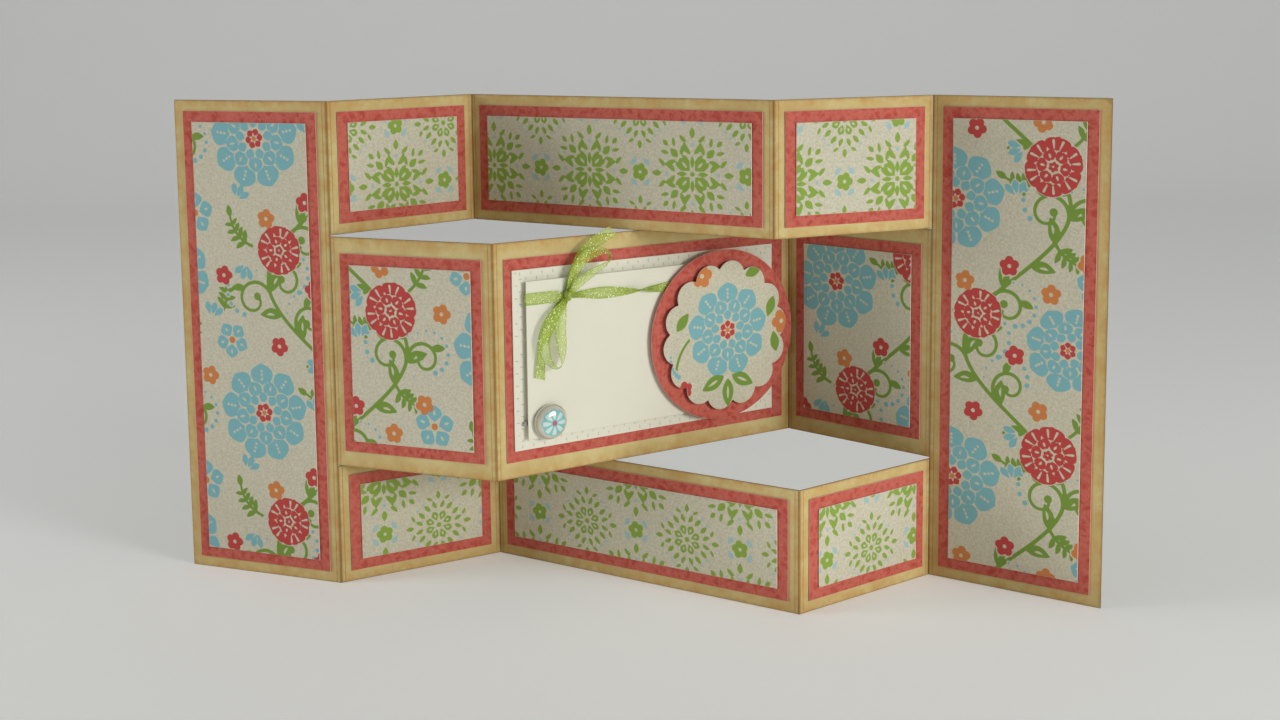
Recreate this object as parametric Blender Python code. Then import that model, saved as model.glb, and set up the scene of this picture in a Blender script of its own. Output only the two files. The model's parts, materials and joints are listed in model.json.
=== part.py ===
"""Tri-fold shutter card that stands on its own folds, with mats, papers, a raised panel, a tag, a bow and a brad.

Metres, +Z up, the card's front facing -Y. The base is one sheet of card with two slits, so it has a top, a
middle and a bottom band between two full-height flaps. The middle band folds forward at its left crease and
the other two fold back, as in every shutter card.

Each panel hangs on an empty that stands on its fold line. In the panel's own frame x runs along the panel,
-y is its front and z is up, so every glued sheet is placed by its distance along the panel, its height and
its lift off the panel's middle plane.
"""
import math

import bmesh
import bpy
from mathutils import Matrix, Vector

# Card base: a 12 x 5 1/2 inch sheet, creased at 2, 4, 8 and 10 inches
SIDE_W = 0.0508
CENTRE_W = 0.1016
BOTTOM_H = 0.034925
MIDDLE_H = 0.066675
TOP_H = 0.0381
CARD_T = 0.00035
SLIT_W = 0.0003
EDGE_GAP = 0.0003
PIVOT_GAP = 0.00085

# How far the card is folded as it stands: the mean fold, and the plan angle of each band's first panel
FOLD_DEG = 32.8
TOP_FIRST_DEG = 42.2
MIDDLE_FIRST_DEG = -21.7
BOTTOM_FIRST_DEG = 29.4
LEFT_FLAP_DEG = -21.2
RIGHT_FLAP_DEG = -34.7

# Mats and papers: cut to leave an even margin, wider above and below in the middle band
MAT_T = 0.0003
MAT_MARGIN = 0.003175
MIDDLE_MAT_MARGIN = 0.0047625
PAPER_T = 0.00025
PAPER_MARGIN = 0.003175
TAPE_T = 0.00012

# Embossed mat and the raised writing panel, narrower than the middle centre panel by a margin on each side
EMBOSSED_MARGIN = 0.00635
EMBOSSED_W = CENTRE_W - 2 * EMBOSSED_MARGIN
EMBOSSED_H = 0.0508
EMBOSSED_SHIFT = -0.0010
WRITING_MARGIN = 0.0111125
WRITING_W = CENTRE_W - 2 * WRITING_MARGIN
WRITING_H = 0.04445
WRITING_SHIFT = -0.0023
WRITING_T = 0.0003

# Foam pads
FOAM_T = 0.001
PAD_W = 0.00635
PANEL_PAD_INSET = 0.0066875
PANEL_PAD_X = WRITING_W / 2 - PANEL_PAD_INSET
PANEL_PAD_Z = 0.0105
TAG_PAD_REACH = 0.0095
SCALLOP_PAD_REACH = 0.0105
SCALLOP_PADS = 3

# Round tag: a 2 inch circle, set in from the panel's right fold, with a 1 3/4 inch scalloped circle raised on it
TAG_R = 0.0254
TAG_INSET = 0.0022
TAG_X = CENTRE_W - TAG_INSET - TAG_R
TAG_RISE = 0.0003
TAG_T = 0.0003
SCALLOP_R = 0.022225
SCALLOP_CUSP_R = 0.01985
SCALLOP_COUNT = 14
SCALLOP_TURN_DEG = 6.4

# Ribbon tied round the writing panel
RIBBON_W = 0.0034
RIBBON_T = 0.00012
RIBBON_SLACK = 0.00015
BAND_DROP = 0.0050
BAND_SAG = 0.0009
TWIST_CLEAR = 0.00875
TWIST_RUN = 0.0125
TWIST_LIFT = 0.0011
KNOT_X = 0.0123
KNOT_R = 0.00115
KNOT_H = 0.0029
KNOT_GAP = 0.0003
LOWER_LOOP_L = 0.0200
LOWER_LOOP_W = 0.0062
LOWER_LOOP_BOW = 0.0026
LOWER_LOOP_DEG = -105.0
UPPER_LOOP_L = 0.0168
UPPER_LOOP_W = 0.0054
UPPER_LOOP_BOW = -0.0020
UPPER_LOOP_DEG = 42.0
LOOP_RISE = 0.0020
STRAND_STEP = 0.0006
LOWER_TAIL_L = 0.0242
LOWER_TAIL_BOW = 0.0022
LOWER_TAIL_DEG = -111.0
UPPER_TAIL_L = 0.0232
UPPER_TAIL_BOW = -0.0034
UPPER_TAIL_DEG = 47.0

# Domed brad through the writing panel
BRAD_R = 0.0050
BRAD_RIM_H = 0.0011
BRAD_WALL = 0.0004
BRAD_DOME_H = 0.0030
BRAD_X = 0.0066
BRAD_Z = 0.0045
BRAD_HOLE_R = 0.0011
BRAD_SEAT = 0.0003
LEG_W = 0.0012
LEG_T = 0.00025
LEG_L = 0.0075
LEG_APART = 0.0003

# Shares and counts that shape the round and the soft pieces
ARC_STEPS = 6
ROUND_STEPS = 72
KNOT_STEPS = 12
LOOP_STEPS = 30
TAIL_STEPS = 14
BAND_STEPS = 36
WRAP_STEPS = 8
LOOP_PEAK_SHARE = 0.6495
GATHER_SHARE = 0.45
TWIST_WIDTH_SHARE = 0.42
SPREAD_SHARE = 0.35
DOME_RIM_SHARE = 0.55
LOOP_ROLL_DEG = 74.0
STRAND_ROLL_DEG = 14.0

HEIGHT = BOTTOM_H + MIDDLE_H + TOP_H
BANDS = {
    "flap": (0.0, HEIGHT),
    "bottom": (0.0, BOTTOM_H),
    "middle": (BOTTOM_H, BOTTOM_H + MIDDLE_H),
    "top": (BOTTOM_H + MIDDLE_H, HEIGHT),
}
# A panel's end is the rounded nose of a fold, pulled back from a neighbour's nose, or free. At an open pivot
# it is pulled back further.
NOSE, SHORT, PIVOT, FREE = "nose", "short", "pivot", "free"
END_GAPS = {NOSE: 0.0, SHORT: CARD_T / 2 + EDGE_GAP, PIVOT: CARD_T / 2 + PIVOT_GAP, FREE: 0.0}

# Lifts off the panel's middle plane to the back of each layer
MAT_BACK = CARD_T / 2 + TAPE_T
PAPER_BACK = MAT_BACK + MAT_T + TAPE_T
PANEL_PAD_BACK = PAPER_BACK + MAT_T + TAPE_T
WRITING_BACK = PANEL_PAD_BACK + FOAM_T + TAPE_T
WRITING_FRONT = WRITING_BACK + WRITING_T
TAG_PAD_BACK = WRITING_FRONT + TAPE_T
TAG_BACK = TAG_PAD_BACK + FOAM_T + TAPE_T
SCALLOP_PAD_BACK = TAG_BACK + TAG_T + TAPE_T
SCALLOP_BACK = SCALLOP_PAD_BACK + FOAM_T + TAPE_T
MIDDLE_Z = BOTTOM_H + MIDDLE_H / 2

# The band twists this far from the writing panel's left edge, clear of where the tag covers it
WRITING_LEFT = CENTRE_W / 2 + WRITING_SHIFT - WRITING_W / 2
BAND_RISE = WRITING_H / 2 - BAND_DROP
TAG_COVER_X = TAG_X - math.sqrt(max(TAG_R ** 2 - (BAND_RISE - TAG_RISE) ** 2, 0.0))
TWIST_AT = TAG_COVER_X - TWIST_CLEAR - WRITING_LEFT


def clear_scene():
    """Remove what the file opens with."""
    for obj in list(bpy.data.objects):
        bpy.data.objects.remove(obj, do_unlink=True)


def make_material(name, colour, roughness, metallic=0.0):
    """A plain surface of one colour."""
    made = bpy.data.materials.new(name)
    made.use_nodes = True
    shader = made.node_tree.nodes["Principled BSDF"]
    shader.inputs["Base Color"].default_value = (*colour, 1.0)
    shader.inputs["Roughness"].default_value = roughness
    shader.inputs["Metallic"].default_value = metallic
    return made


def make_materials():
    """The card's papers, its foam, ribbon and metal."""
    return {
        "card": make_material("kraft_card", (0.54, 0.43, 0.20), 0.85),
        "mat": make_material("red_mat_card", (0.52, 0.075, 0.06), 0.8),
        "paper": make_material("patterned_paper", (0.56, 0.54, 0.40), 0.75),
        "white": make_material("white_card", (0.76, 0.75, 0.62), 0.8),
        "foam": make_material("foam_pad", (0.8, 0.8, 0.78), 0.95),
        "ribbon": make_material("sheer_ribbon", (0.42, 0.60, 0.07), 0.4),
        "pearl": make_material("pearl_enamel", (0.55, 0.58, 0.52), 0.25),
        "metal": make_material("brad_metal", (0.62, 0.60, 0.56), 0.35, 1.0),
    }


def add_object(name, bm, parent, surface, place=(0.0, 0.0, 0.0), smooth=False):
    """Turn a bmesh into a named object that hangs on a fold's empty."""
    bmesh.ops.recalc_face_normals(bm, faces=bm.faces)
    mesh = bpy.data.meshes.new(name)
    bm.to_mesh(mesh)
    bm.free()
    if smooth:
        mesh.shade_smooth()
        mesh.set_sharp_from_angle(angle=math.radians(40.0))
    mesh.materials.append(surface)
    obj = bpy.data.objects.new(name, mesh)
    bpy.context.collection.objects.link(obj)
    obj.parent = parent
    obj.location = place
    return obj


def add_fold(name, parent, x, turn):
    """An empty on a fold line, turned in plan from the panel that it folds against."""
    fold = bpy.data.objects.new(name, None)
    bpy.context.collection.objects.link(fold)
    fold.parent = parent
    fold.location = (x, 0.0, 0.0)
    fold.rotation_euler = (0.0, 0.0, turn)
    return fold


def heading(angle):
    """Unit plan vector at an angle from +X."""
    return Vector((math.cos(angle), math.sin(angle)))


def band_angles(first, behind):
    """Plan angles of a band's three panels, from the first: the others meet where two circles cross.

    behind is 1 where the band's left crease lies behind the line between the flaps, and -1 in front of it.
    """
    span = (2 * SIDE_W + CENTRE_W) * math.cos(math.radians(FOLD_DEG))
    left = SIDE_W * heading(first)
    reach = Vector((span, 0.0)) - left
    gap = reach.length
    along = (CENTRE_W ** 2 - SIDE_W ** 2 + gap ** 2) / (2 * gap)
    aside = math.sqrt(CENTRE_W ** 2 - along ** 2)
    unit = reach / gap
    right = left + unit * along - behind * aside * Vector((-unit.y, unit.x))
    centre = right - left
    last = Vector((span, 0.0)) - right
    return first, math.atan2(centre.y, centre.x), math.atan2(last.y, last.x)


def card_outline(left, right, left_end, right_end):
    """A panel's plan section: a thin strip whose nose ends are half rounds centred on the fold line."""
    half = CARD_T / 2
    points = []
    for x, end, facing in ((right, right_end, 0.0), (left, left_end, math.pi)):
        x += END_GAPS[end] if facing else -END_GAPS[end]
        if end == NOSE:
            turns = [facing + math.pi * (step / ARC_STEPS - 0.5) for step in range(ARC_STEPS + 1)]
            points += [(x + half * math.cos(turn), half * math.sin(turn)) for turn in turns]
        else:
            side = -half if facing == 0.0 else half
            points += [(x, side), (x, -side)]
    return points


def extrude_outline(points, push):
    """A closed prism from a flat outline and the vector that its face is pushed along."""
    bm = bmesh.new()
    face = bm.faces.new([bm.verts.new(point) for point in points])
    made = bmesh.ops.extrude_face_region(bm, geom=[face])
    lifted = [item for item in made["geom"] if isinstance(item, bmesh.types.BMVert)]
    bmesh.ops.translate(bm, verts=lifted, vec=push)
    return bm


def card_panel(name, fold, span, ends, band, surface):
    """One panel of the card base, between two fold lines and two heights."""
    low, high = BANDS[band]
    low += SLIT_W / 2 if low > 0.0 else 0.0
    high -= SLIT_W / 2 if high < HEIGHT else 0.0
    outline = [(x, y, low) for x, y in card_outline(*span, *ends)]
    return add_object(name, extrude_outline(outline, (0.0, 0.0, high - low)), fold, surface)


def sheet(name, fold, centre, size, back, thick, surface):
    """A flat rectangle glued to a panel: centre and size are along the panel and up, back is its lift."""
    bm = bmesh.new()
    bmesh.ops.create_cube(bm, size=1.0, matrix=Matrix.Diagonal((size[0], thick, size[1], 1.0)))
    return add_object(name, bm, fold, surface, (centre[0], -back - thick / 2, centre[1]))


def shaped_sheet(name, fold, centre, outline, back, thick, surface):
    """A flat sheet of any outline, given about its own centre."""
    points = [(x, thick / 2, z) for x, z in outline]
    bm = extrude_outline(points, (0.0, -thick, 0.0))
    return add_object(name, bm, fold, surface, (centre[0], -back - thick / 2, centre[1]))


def ring_points(radius, count, turn=0.0):
    """Points evenly round a circle."""
    angles = [turn + 2 * math.pi * step / count for step in range(count)]
    return [(radius * math.cos(angle), radius * math.sin(angle)) for angle in angles]


def scallop_outline():
    """Round lobes between cusps: each lobe is the arc through two cusps and the tip radius."""
    half_step = math.pi / SCALLOP_COUNT
    half_chord = SCALLOP_CUSP_R * math.sin(half_step)
    chord_at = SCALLOP_CUSP_R * math.cos(half_step)
    rise = SCALLOP_R - chord_at
    lobe_r = (half_chord ** 2 + rise ** 2) / (2 * rise)
    lobe_at = SCALLOP_R - lobe_r
    sweep = math.atan2(half_chord, chord_at - lobe_at)
    points = []
    for lobe in range(SCALLOP_COUNT):
        facing = math.radians(SCALLOP_TURN_DEG) + 2 * half_step * lobe
        for step in range(ARC_STEPS):
            angle = sweep * (2 * step / ARC_STEPS - 1)
            out = lobe_at + lobe_r * math.cos(angle)
            aside = lobe_r * math.sin(angle)
            points.append((out * math.cos(facing) - aside * math.sin(facing),
                           out * math.sin(facing) + aside * math.cos(facing)))
    return points


def turned(name, fold, centre, profile, surface):
    """A solid turned about the panel's normal, from (radius, lift) points that start and end on the axis."""
    bm = bmesh.new()
    rings = []
    for radius, lift in profile:
        if radius:
            rings.append([bm.verts.new((x, -lift, z)) for x, z in ring_points(radius, ROUND_STEPS // 2)])
        else:
            rings.append([bm.verts.new((0.0, -lift, 0.0))])
    for near, far in zip(rings, rings[1:]):
        for step in range(ROUND_STEPS // 2):
            corners = (near[step % len(near)], near[(step + 1) % len(near)],
                       far[(step + 1) % len(far)], far[step % len(far)])
            bm.faces.new(list(dict.fromkeys(corners)))
    return add_object(name, bm, fold, surface, (centre[0], 0.0, centre[1]), smooth=True)


def ribbon(name, fold, centres, acrosses, surface):
    """A flat strip of ribbon: its middle line and, at each station, the vector to its edge."""
    bm = bmesh.new()
    rings = []
    for step, (centre, across) in enumerate(zip(centres, acrosses)):
        along = centres[min(step + 1, len(centres) - 1)] - centres[max(step - 1, 0)]
        thick = along.cross(across).normalized() * RIBBON_T / 2
        corners = (centre + across + thick, centre - across + thick,
                   centre - across - thick, centre + across - thick)
        rings.append([bm.verts.new(corner) for corner in corners])
    for near, far in zip(rings, rings[1:]):
        bm.faces.new((near[0], near[3], far[3], far[0]))
        bm.faces.new((near[2], near[1], far[1], far[2]))
        # Front and back split along the same diagonal, so a thin twisted strip never passes through itself
        bm.faces.new((near[1], near[0], far[0]))
        bm.faces.new((near[1], far[0], far[1]))
        bm.faces.new((near[3], near[2], far[3]))
        bm.faces.new((near[2], far[2], far[3]))
    bm.faces.new(rings[0])
    bm.faces.new(list(reversed(rings[-1])))
    return add_object(name, bm, fold, surface, smooth=True)


def ease(share):
    """Smooth step from 0 to 1."""
    share = min(max(share, 0.0), 1.0)
    return share * share * (3 - 2 * share)


def edge_vectors(centres, widths, rolls):
    """Vectors to the ribbon's edge: roll 0 lies flat on the panel, a quarter turn stands on edge."""
    vectors = []
    for step, (width, roll) in enumerate(zip(widths, rolls)):
        along = centres[min(step + 1, len(centres) - 1)] - centres[max(step - 1, 0)]
        flat = Vector((0.0, 1.0, 0.0)).cross(along).normalized()
        deep = along.cross(flat).normalized()
        vectors.append((flat * math.cos(roll) + deep * math.sin(roll)) * width / 2)
    return vectors


def knot_place():
    """The knot's centre: along the panel, out of it and up."""
    x = WRITING_LEFT + KNOT_X
    z = MIDDLE_Z + BAND_RISE
    return Vector((x, -(WRITING_FRONT + KNOT_GAP + KNOT_R), z))


def knot_reach(direction):
    """How far from the knot's centre a strand that leaves it in this direction starts."""
    across, up = math.cos(direction) / KNOT_R, math.sin(direction) / (KNOT_H / 2)
    return 1 / math.hypot(across, up) + KNOT_GAP


def bow_path(direction, length, offsets, shares, lifts):
    """Points out from the knot: share of the length, sideways offset and extra lift at each station."""
    knot = knot_place()
    ahead = Vector((math.cos(direction), 0.0, math.sin(direction)))
    aside = Vector((math.sin(direction), 0.0, -math.cos(direction)))
    return [knot + ahead * length * share + aside * offset - Vector((0.0, lift, 0.0))
            for share, offset, lift in zip(shares, offsets, lifts)]


def bow_loop(name, fold, size, direction, step_out, surface):
    """A teardrop loop: out over the front strand, round the end and back on the strand behind it."""
    length, width, bow = size
    direction = math.radians(direction)
    start = math.acos(1 - 2 * knot_reach(direction) / length) / (2 * math.pi)
    times = [start + (1 - 2 * start) * step / LOOP_STEPS for step in range(LOOP_STEPS + 1)]
    shares = [(1 - math.cos(2 * math.pi * time)) / 2 for time in times]
    swell = [math.sin(2 * math.pi * time) * math.sin(math.pi * time) ** 2 / LOOP_PEAK_SHARE for time in times]
    offsets = [width / 2 * part + bow * math.sin(math.pi * share) for part, share in zip(swell, shares)]
    lifts = [step_out * (1 - 2 * time) + LOOP_RISE * math.sin(math.pi * time) ** 2 for time in times]
    centres = bow_path(direction, length, offsets, shares, lifts)
    widths = [RIBBON_W * (GATHER_SHARE + (1 - GATHER_SHARE) * ease(share / SPREAD_SHARE)) for share in shares]
    rolls = [math.radians(STRAND_ROLL_DEG) * math.sin(2 * math.pi * time)
             + math.radians(LOOP_ROLL_DEG) * math.sin(math.pi * time) ** 6 for time in times]
    return ribbon(name, fold, centres, edge_vectors(centres, widths, rolls), surface)


def bow_tail(name, fold, size, direction, lift_range, surface):
    """A loose end: out from the knot in a shallow bow, and down towards the panel."""
    length, bow = size
    direction = math.radians(direction)
    start = knot_reach(direction) / length
    shares = [start + (1 - start) * step / TAIL_STEPS for step in range(TAIL_STEPS + 1)]
    offsets = [bow * math.sin(math.pi * share) for share in shares]
    lifts = [lift_range[0] + (lift_range[1] - lift_range[0]) * ease(share) for share in shares]
    centres = bow_path(direction, length, offsets, shares, lifts)
    widths = [RIBBON_W * (GATHER_SHARE + (1 - GATHER_SHARE) * ease(share / SPREAD_SHARE)) for share in shares]
    return ribbon(name, fold, centres, edge_vectors(centres, widths, [0.0] * len(centres)), surface)


def band_half(name, fold, side, surface):
    """Half of the ribbon band: from the knot over the panel's front, round its edge and along its back.

    side is -1 for the left half and 1 for the right half, which also makes one twist on its way.
    """
    knot = knot_place()
    middle = CENTRE_W / 2 + WRITING_SHIFT
    edge = middle + side * WRITING_W / 2
    start = knot.x + side * (KNOT_R + KNOT_GAP)
    run = abs(edge - start)
    wrap_r = WRITING_T / 2 + RIBBON_SLACK + RIBBON_T / 2
    front = WRITING_FRONT - WRITING_T / 2 + wrap_r
    centres, widths, rolls = [], [], []
    for step in range(BAND_STEPS):
        gone = run * step / BAND_STEPS
        lift = front + (-knot.y - KNOT_R / 2 - front) * (1 - ease(gone / (KNOT_H * 2)))
        width = GATHER_SHARE + (1 - GATHER_SHARE) * ease(gone / (run * SPREAD_SHARE / 2))
        roll = 0.0
        if side > 0:
            near_twist = 1 - ease(abs(gone - TWIST_AT + KNOT_X) / TWIST_RUN)
            lift += TWIST_LIFT * near_twist
            width *= 1 - (1 - TWIST_WIDTH_SHARE) * near_twist
            roll = math.pi * ease((gone - TWIST_AT + KNOT_X) / TWIST_RUN + 0.5)
        sag = BAND_SAG * math.sin(math.pi * gone / run) * (side > 0)
        centres.append(Vector((start + side * gone, -lift, knot.z - sag)))
        widths.append(RIBBON_W * width)
        rolls.append(roll)
    turn_done = math.pi if side > 0 else 0.0
    for step in range(WRAP_STEPS + 1):
        angle = math.pi * step / WRAP_STEPS
        lift = WRITING_FRONT - WRITING_T / 2 + wrap_r * math.cos(angle)
        centres.append(Vector((edge + side * wrap_r * math.sin(angle), -lift, knot.z)))
        widths.append(RIBBON_W)
        rolls.append(turn_done)
    back = WRITING_FRONT - WRITING_T / 2 - wrap_r
    centres.append(Vector((middle + side * EDGE_GAP / 2, -back, knot.z)))
    widths.append(RIBBON_W)
    rolls.append(turn_done)
    flip = [math.cos(roll) for roll in rolls]
    deep = [math.sin(roll) for roll in rolls]
    acrosses = [Vector((0.0, -part * width / 2, share * width / 2))
                for share, part, width in zip(flip, deep, widths)]
    return ribbon(name, fold, centres, acrosses, surface)


def add_knot(fold, surface):
    """The small tight knot: a ball drawn out along the loops."""
    bm = bmesh.new()
    stretch = Matrix.Diagonal((KNOT_R, KNOT_R, KNOT_H / 2, 1.0))
    bmesh.ops.create_uvsphere(bm, u_segments=KNOT_STEPS, v_segments=KNOT_STEPS // 2, radius=1.0, matrix=stretch)
    return add_object("ribbon_knot", bm, fold, surface, knot_place(), smooth=True)


def add_bow(fold, surface):
    """Ribbon band, knot, two loops and two tails."""
    band_half("ribbon_band_left", fold, -1, surface)
    band_half("ribbon_band_right", fold, 1, surface)
    add_knot(fold, surface)
    lower = (LOWER_LOOP_L, LOWER_LOOP_W, LOWER_LOOP_BOW)
    upper = (UPPER_LOOP_L, UPPER_LOOP_W, UPPER_LOOP_BOW)
    bow_loop("ribbon_loop_lower", fold, lower, LOWER_LOOP_DEG, STRAND_STEP, surface)
    bow_loop("ribbon_loop_upper", fold, upper, UPPER_LOOP_DEG, STRAND_STEP, surface)
    resting = WRITING_FRONT + RIBBON_SLACK + RIBBON_T / 2 + knot_place().y
    bow_tail("ribbon_tail_lower", fold, (LOWER_TAIL_L, LOWER_TAIL_BOW), LOWER_TAIL_DEG,
             (-KNOT_R, resting), surface)
    bow_tail("ribbon_tail_upper", fold, (UPPER_TAIL_L, UPPER_TAIL_BOW), UPPER_TAIL_DEG,
             (-KNOT_R, resting), surface)


def add_brad(fold, writing, surfaces):
    """A domed brad: a rim, a dome in it, and two legs that go through the panel and spread behind it."""
    x = WRITING_LEFT + BRAD_X
    z = MIDDLE_Z - WRITING_H / 2 + BRAD_Z
    seat = WRITING_FRONT + BRAD_SEAT
    floor = seat + BRAD_WALL
    rim = [(0.0, seat), (BRAD_R - BRAD_WALL, seat), (BRAD_R, floor), (BRAD_R, seat + BRAD_RIM_H),
           (BRAD_R - BRAD_WALL, seat + BRAD_RIM_H), (BRAD_R - BRAD_WALL, floor), (0.0, floor)]
    turned("brad_rim", fold, (x, z), rim, surfaces["metal"])
    dome_r = BRAD_R - BRAD_WALL - EDGE_GAP
    dome_low = floor + EDGE_GAP
    shoulder = dome_low + (BRAD_DOME_H - (dome_low - seat)) * (1 - DOME_RIM_SHARE)
    dome = [(0.0, dome_low), (dome_r, dome_low), (dome_r, shoulder)]
    for step in range(1, ARC_STEPS + 1):
        angle = math.pi / 2 * step / ARC_STEPS
        radius = dome_r * math.cos(angle) if step < ARC_STEPS else 0.0
        dome.append((radius, shoulder + (seat + BRAD_DOME_H - shoulder) * math.sin(angle)))
    turned("brad_dome", fold, (x, z), dome, surfaces["pearl"])
    for name, side in (("brad_leg_left", -1), ("brad_leg_right", 1)):
        add_leg(name, fold, (x, z), side, surfaces["metal"])
    cut = bmesh.new()
    bmesh.ops.create_cone(cut, cap_ends=True, segments=ROUND_STEPS // 2, radius1=BRAD_HOLE_R,
                          radius2=BRAD_HOLE_R, depth=WRITING_T * 4,
                          matrix=Matrix.Rotation(math.pi / 2, 4, "X"))
    cutter = add_object("brad_hole_cutter", cut, fold, surfaces["metal"],
                        (x, -WRITING_FRONT + WRITING_T / 2, z))
    cutter.hide_render = True
    cutter.display_type = "WIRE"
    hole = writing.modifiers.new("brad_hole", "BOOLEAN")
    hole.operation = "DIFFERENCE"
    hole.solver = "EXACT"
    hole.object = cutter


def add_leg(name, fold, centre, side, surface):
    """One leg of the brad: down through the hole, then bent flat behind the panel."""
    inner = LEG_APART / 2
    top = WRITING_FRONT + BRAD_SEAT - EDGE_GAP
    flat = WRITING_BACK - EDGE_GAP
    outline = [(inner, top), (inner + LEG_T, top), (inner + LEG_T, flat), (LEG_L, flat),
               (LEG_L, flat - LEG_T), (inner, flat - LEG_T)]
    points = [(side * x, -lift, -LEG_W / 2) for x, lift in outline]
    bm = extrude_outline(points, (0.0, 0.0, LEG_W))
    return add_object(name, bm, fold, surface, (centre[0], 0.0, centre[1]))


def add_middle_centre(fold, surfaces):
    """What the middle centre panel carries in front of its mat."""
    centre = (CENTRE_W / 2 + EMBOSSED_SHIFT, MIDDLE_Z)
    sheet("embossed_mat", fold, centre, (EMBOSSED_W, EMBOSSED_H), PAPER_BACK, MAT_T, surfaces["white"])
    writing_at = (CENTRE_W / 2 + WRITING_SHIFT, MIDDLE_Z)
    writing = sheet("writing_panel", fold, writing_at, (WRITING_W, WRITING_H), WRITING_BACK, WRITING_T,
                    surfaces["white"])
    corners = [(x, z) for z in (PANEL_PAD_Z, -PANEL_PAD_Z) for x in (-PANEL_PAD_X, PANEL_PAD_X)]
    for count, (x, z) in enumerate(corners, 1):
        sheet(f"panel_pad_{count}", fold, (writing_at[0] + x, writing_at[1] + z), (PAD_W, PAD_W),
              PANEL_PAD_BACK, FOAM_T, surfaces["foam"])
    tag_at = (TAG_X, MIDDLE_Z + TAG_RISE)
    shaped_sheet("round_tag", fold, tag_at, ring_points(TAG_R, ROUND_STEPS), TAG_BACK, TAG_T, surfaces["mat"])
    for count, (x, z) in enumerate(ring_points(TAG_PAD_REACH * math.sqrt(2), 4, math.pi / 4), 1):
        sheet(f"tag_pad_{count}", fold, (tag_at[0] + x, tag_at[1] + z), (PAD_W, PAD_W),
              TAG_PAD_BACK, FOAM_T, surfaces["foam"])
    shaped_sheet("scalloped_tag", fold, tag_at, scallop_outline(), SCALLOP_BACK, PAPER_T, surfaces["paper"])
    for count, (x, z) in enumerate(ring_points(SCALLOP_PAD_REACH, SCALLOP_PADS, math.pi / 2), 1):
        sheet(f"scallop_pad_{count}", fold, (tag_at[0] + x, tag_at[1] + z), (PAD_W, PAD_W),
              SCALLOP_PAD_BACK, FOAM_T, surfaces["foam"])
    add_bow(fold, surfaces["ribbon"])
    add_brad(fold, writing, surfaces)


def mat_and_paper(name, fold, span, band, surfaces, with_paper=True):
    """A panel's red mat and the patterned paper on it, each with its even margin."""
    low, high = BANDS[band]
    rise = MIDDLE_MAT_MARGIN if band == "middle" else MAT_MARGIN
    centre = ((span[0] + span[1]) / 2, (low + high) / 2)
    size = (span[1] - span[0] - 2 * MAT_MARGIN, high - low - 2 * rise)
    sheet(name + "_mat", fold, centre, size, MAT_BACK, MAT_T, surfaces["mat"])
    if with_paper:
        paper = (size[0] - 2 * PAPER_MARGIN, size[1] - 2 * PAPER_MARGIN)
        sheet(name + "_paper", fold, centre, paper, PAPER_BACK, PAPER_T, surfaces["paper"])


def add_panel(name, fold, span, ends, band, surfaces):
    """A panel of the base with its mat and paper."""
    card_panel(name, fold, span, ends, band, surfaces["card"])
    mat_and_paper(name, fold, span, band, surfaces, with_paper=name != "middle_centre")


def add_outer_band(band, parent, angles, parent_angle, surfaces):
    """The top or the bottom band: three panels in a chain from the left flap's fold line."""
    left, centre, right = angles
    first = add_fold(f"fold_{band}_left", parent, -SIDE_W, left - parent_angle)
    add_panel(f"{band}_left", first, (0.0, SIDE_W), (SHORT, NOSE), band, surfaces)
    second = add_fold(f"fold_{band}_centre", first, SIDE_W, centre - left)
    add_panel(f"{band}_centre", second, (0.0, CENTRE_W), (SHORT, SHORT), band, surfaces)
    third = add_fold(f"fold_{band}_right", second, CENTRE_W, right - centre)
    add_panel(f"{band}_right", third, (0.0, SIDE_W), (NOSE, PIVOT), band, surfaces)


def build():
    """Build the card from its middle centre panel outwards."""
    clear_scene()
    surfaces = make_materials()
    left, centre, right = band_angles(math.radians(MIDDLE_FIRST_DEG), -1)
    root = add_fold("fold_middle_centre", None, 0.0, centre)
    add_panel("middle_centre", root, (0.0, CENTRE_W), (SHORT, SHORT), "middle", surfaces)
    add_middle_centre(root, surfaces)
    left_fold = add_fold("fold_middle_left", root, 0.0, left - centre)
    add_panel("middle_left", left_fold, (-SIDE_W, 0.0), (SHORT, NOSE), "middle", surfaces)
    right_fold = add_fold("fold_middle_right", root, CENTRE_W, right - centre)
    add_panel("middle_right", right_fold, (0.0, SIDE_W), (NOSE, SHORT), "middle", surfaces)
    flap = add_fold("fold_left_flap", left_fold, -SIDE_W, math.radians(LEFT_FLAP_DEG) - left)
    add_panel("left_flap", flap, (-SIDE_W, 0.0), (FREE, NOSE), "flap", surfaces)
    flap = add_fold("fold_right_flap", right_fold, SIDE_W, math.radians(RIGHT_FLAP_DEG) - right)
    add_panel("right_flap", flap, (0.0, SIDE_W), (NOSE, FREE), "flap", surfaces)
    top = band_angles(math.radians(TOP_FIRST_DEG), 1)
    bottom = band_angles(math.radians(BOTTOM_FIRST_DEG), 1)
    add_outer_band("top", left_fold, top, left, surfaces)
    add_outer_band("bottom", left_fold, bottom, left, surfaces)
    stand_on_origin(root)


def stand_on_origin(root):
    """Move the card so that the middle of its footprint is the origin."""
    bpy.context.view_layer.update()
    solids = [obj for obj in bpy.data.objects if obj.type == "MESH" and not obj.hide_render]
    places = [obj.matrix_world @ vertex.co for obj in solids for vertex in obj.data.vertices]
    for axis in (0, 1):
        values = [place[axis] for place in places]
        root.location[axis] -= (min(values) + max(values)) / 2
    root.location.z -= min(place.z for place in places)
    bpy.context.view_layer.update()


build()
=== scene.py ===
"""Looks of a tri-fold shutter card: inked card, red mats, printed papers, round tag, ribbon bow and brad.

Lengths are metres. Prints and marks on a sheet are worked out in millimetres, as seen on the sheet's front.
"""
import json
import math

import bpy
import numpy as np
from mathutils import Matrix, Vector

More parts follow.
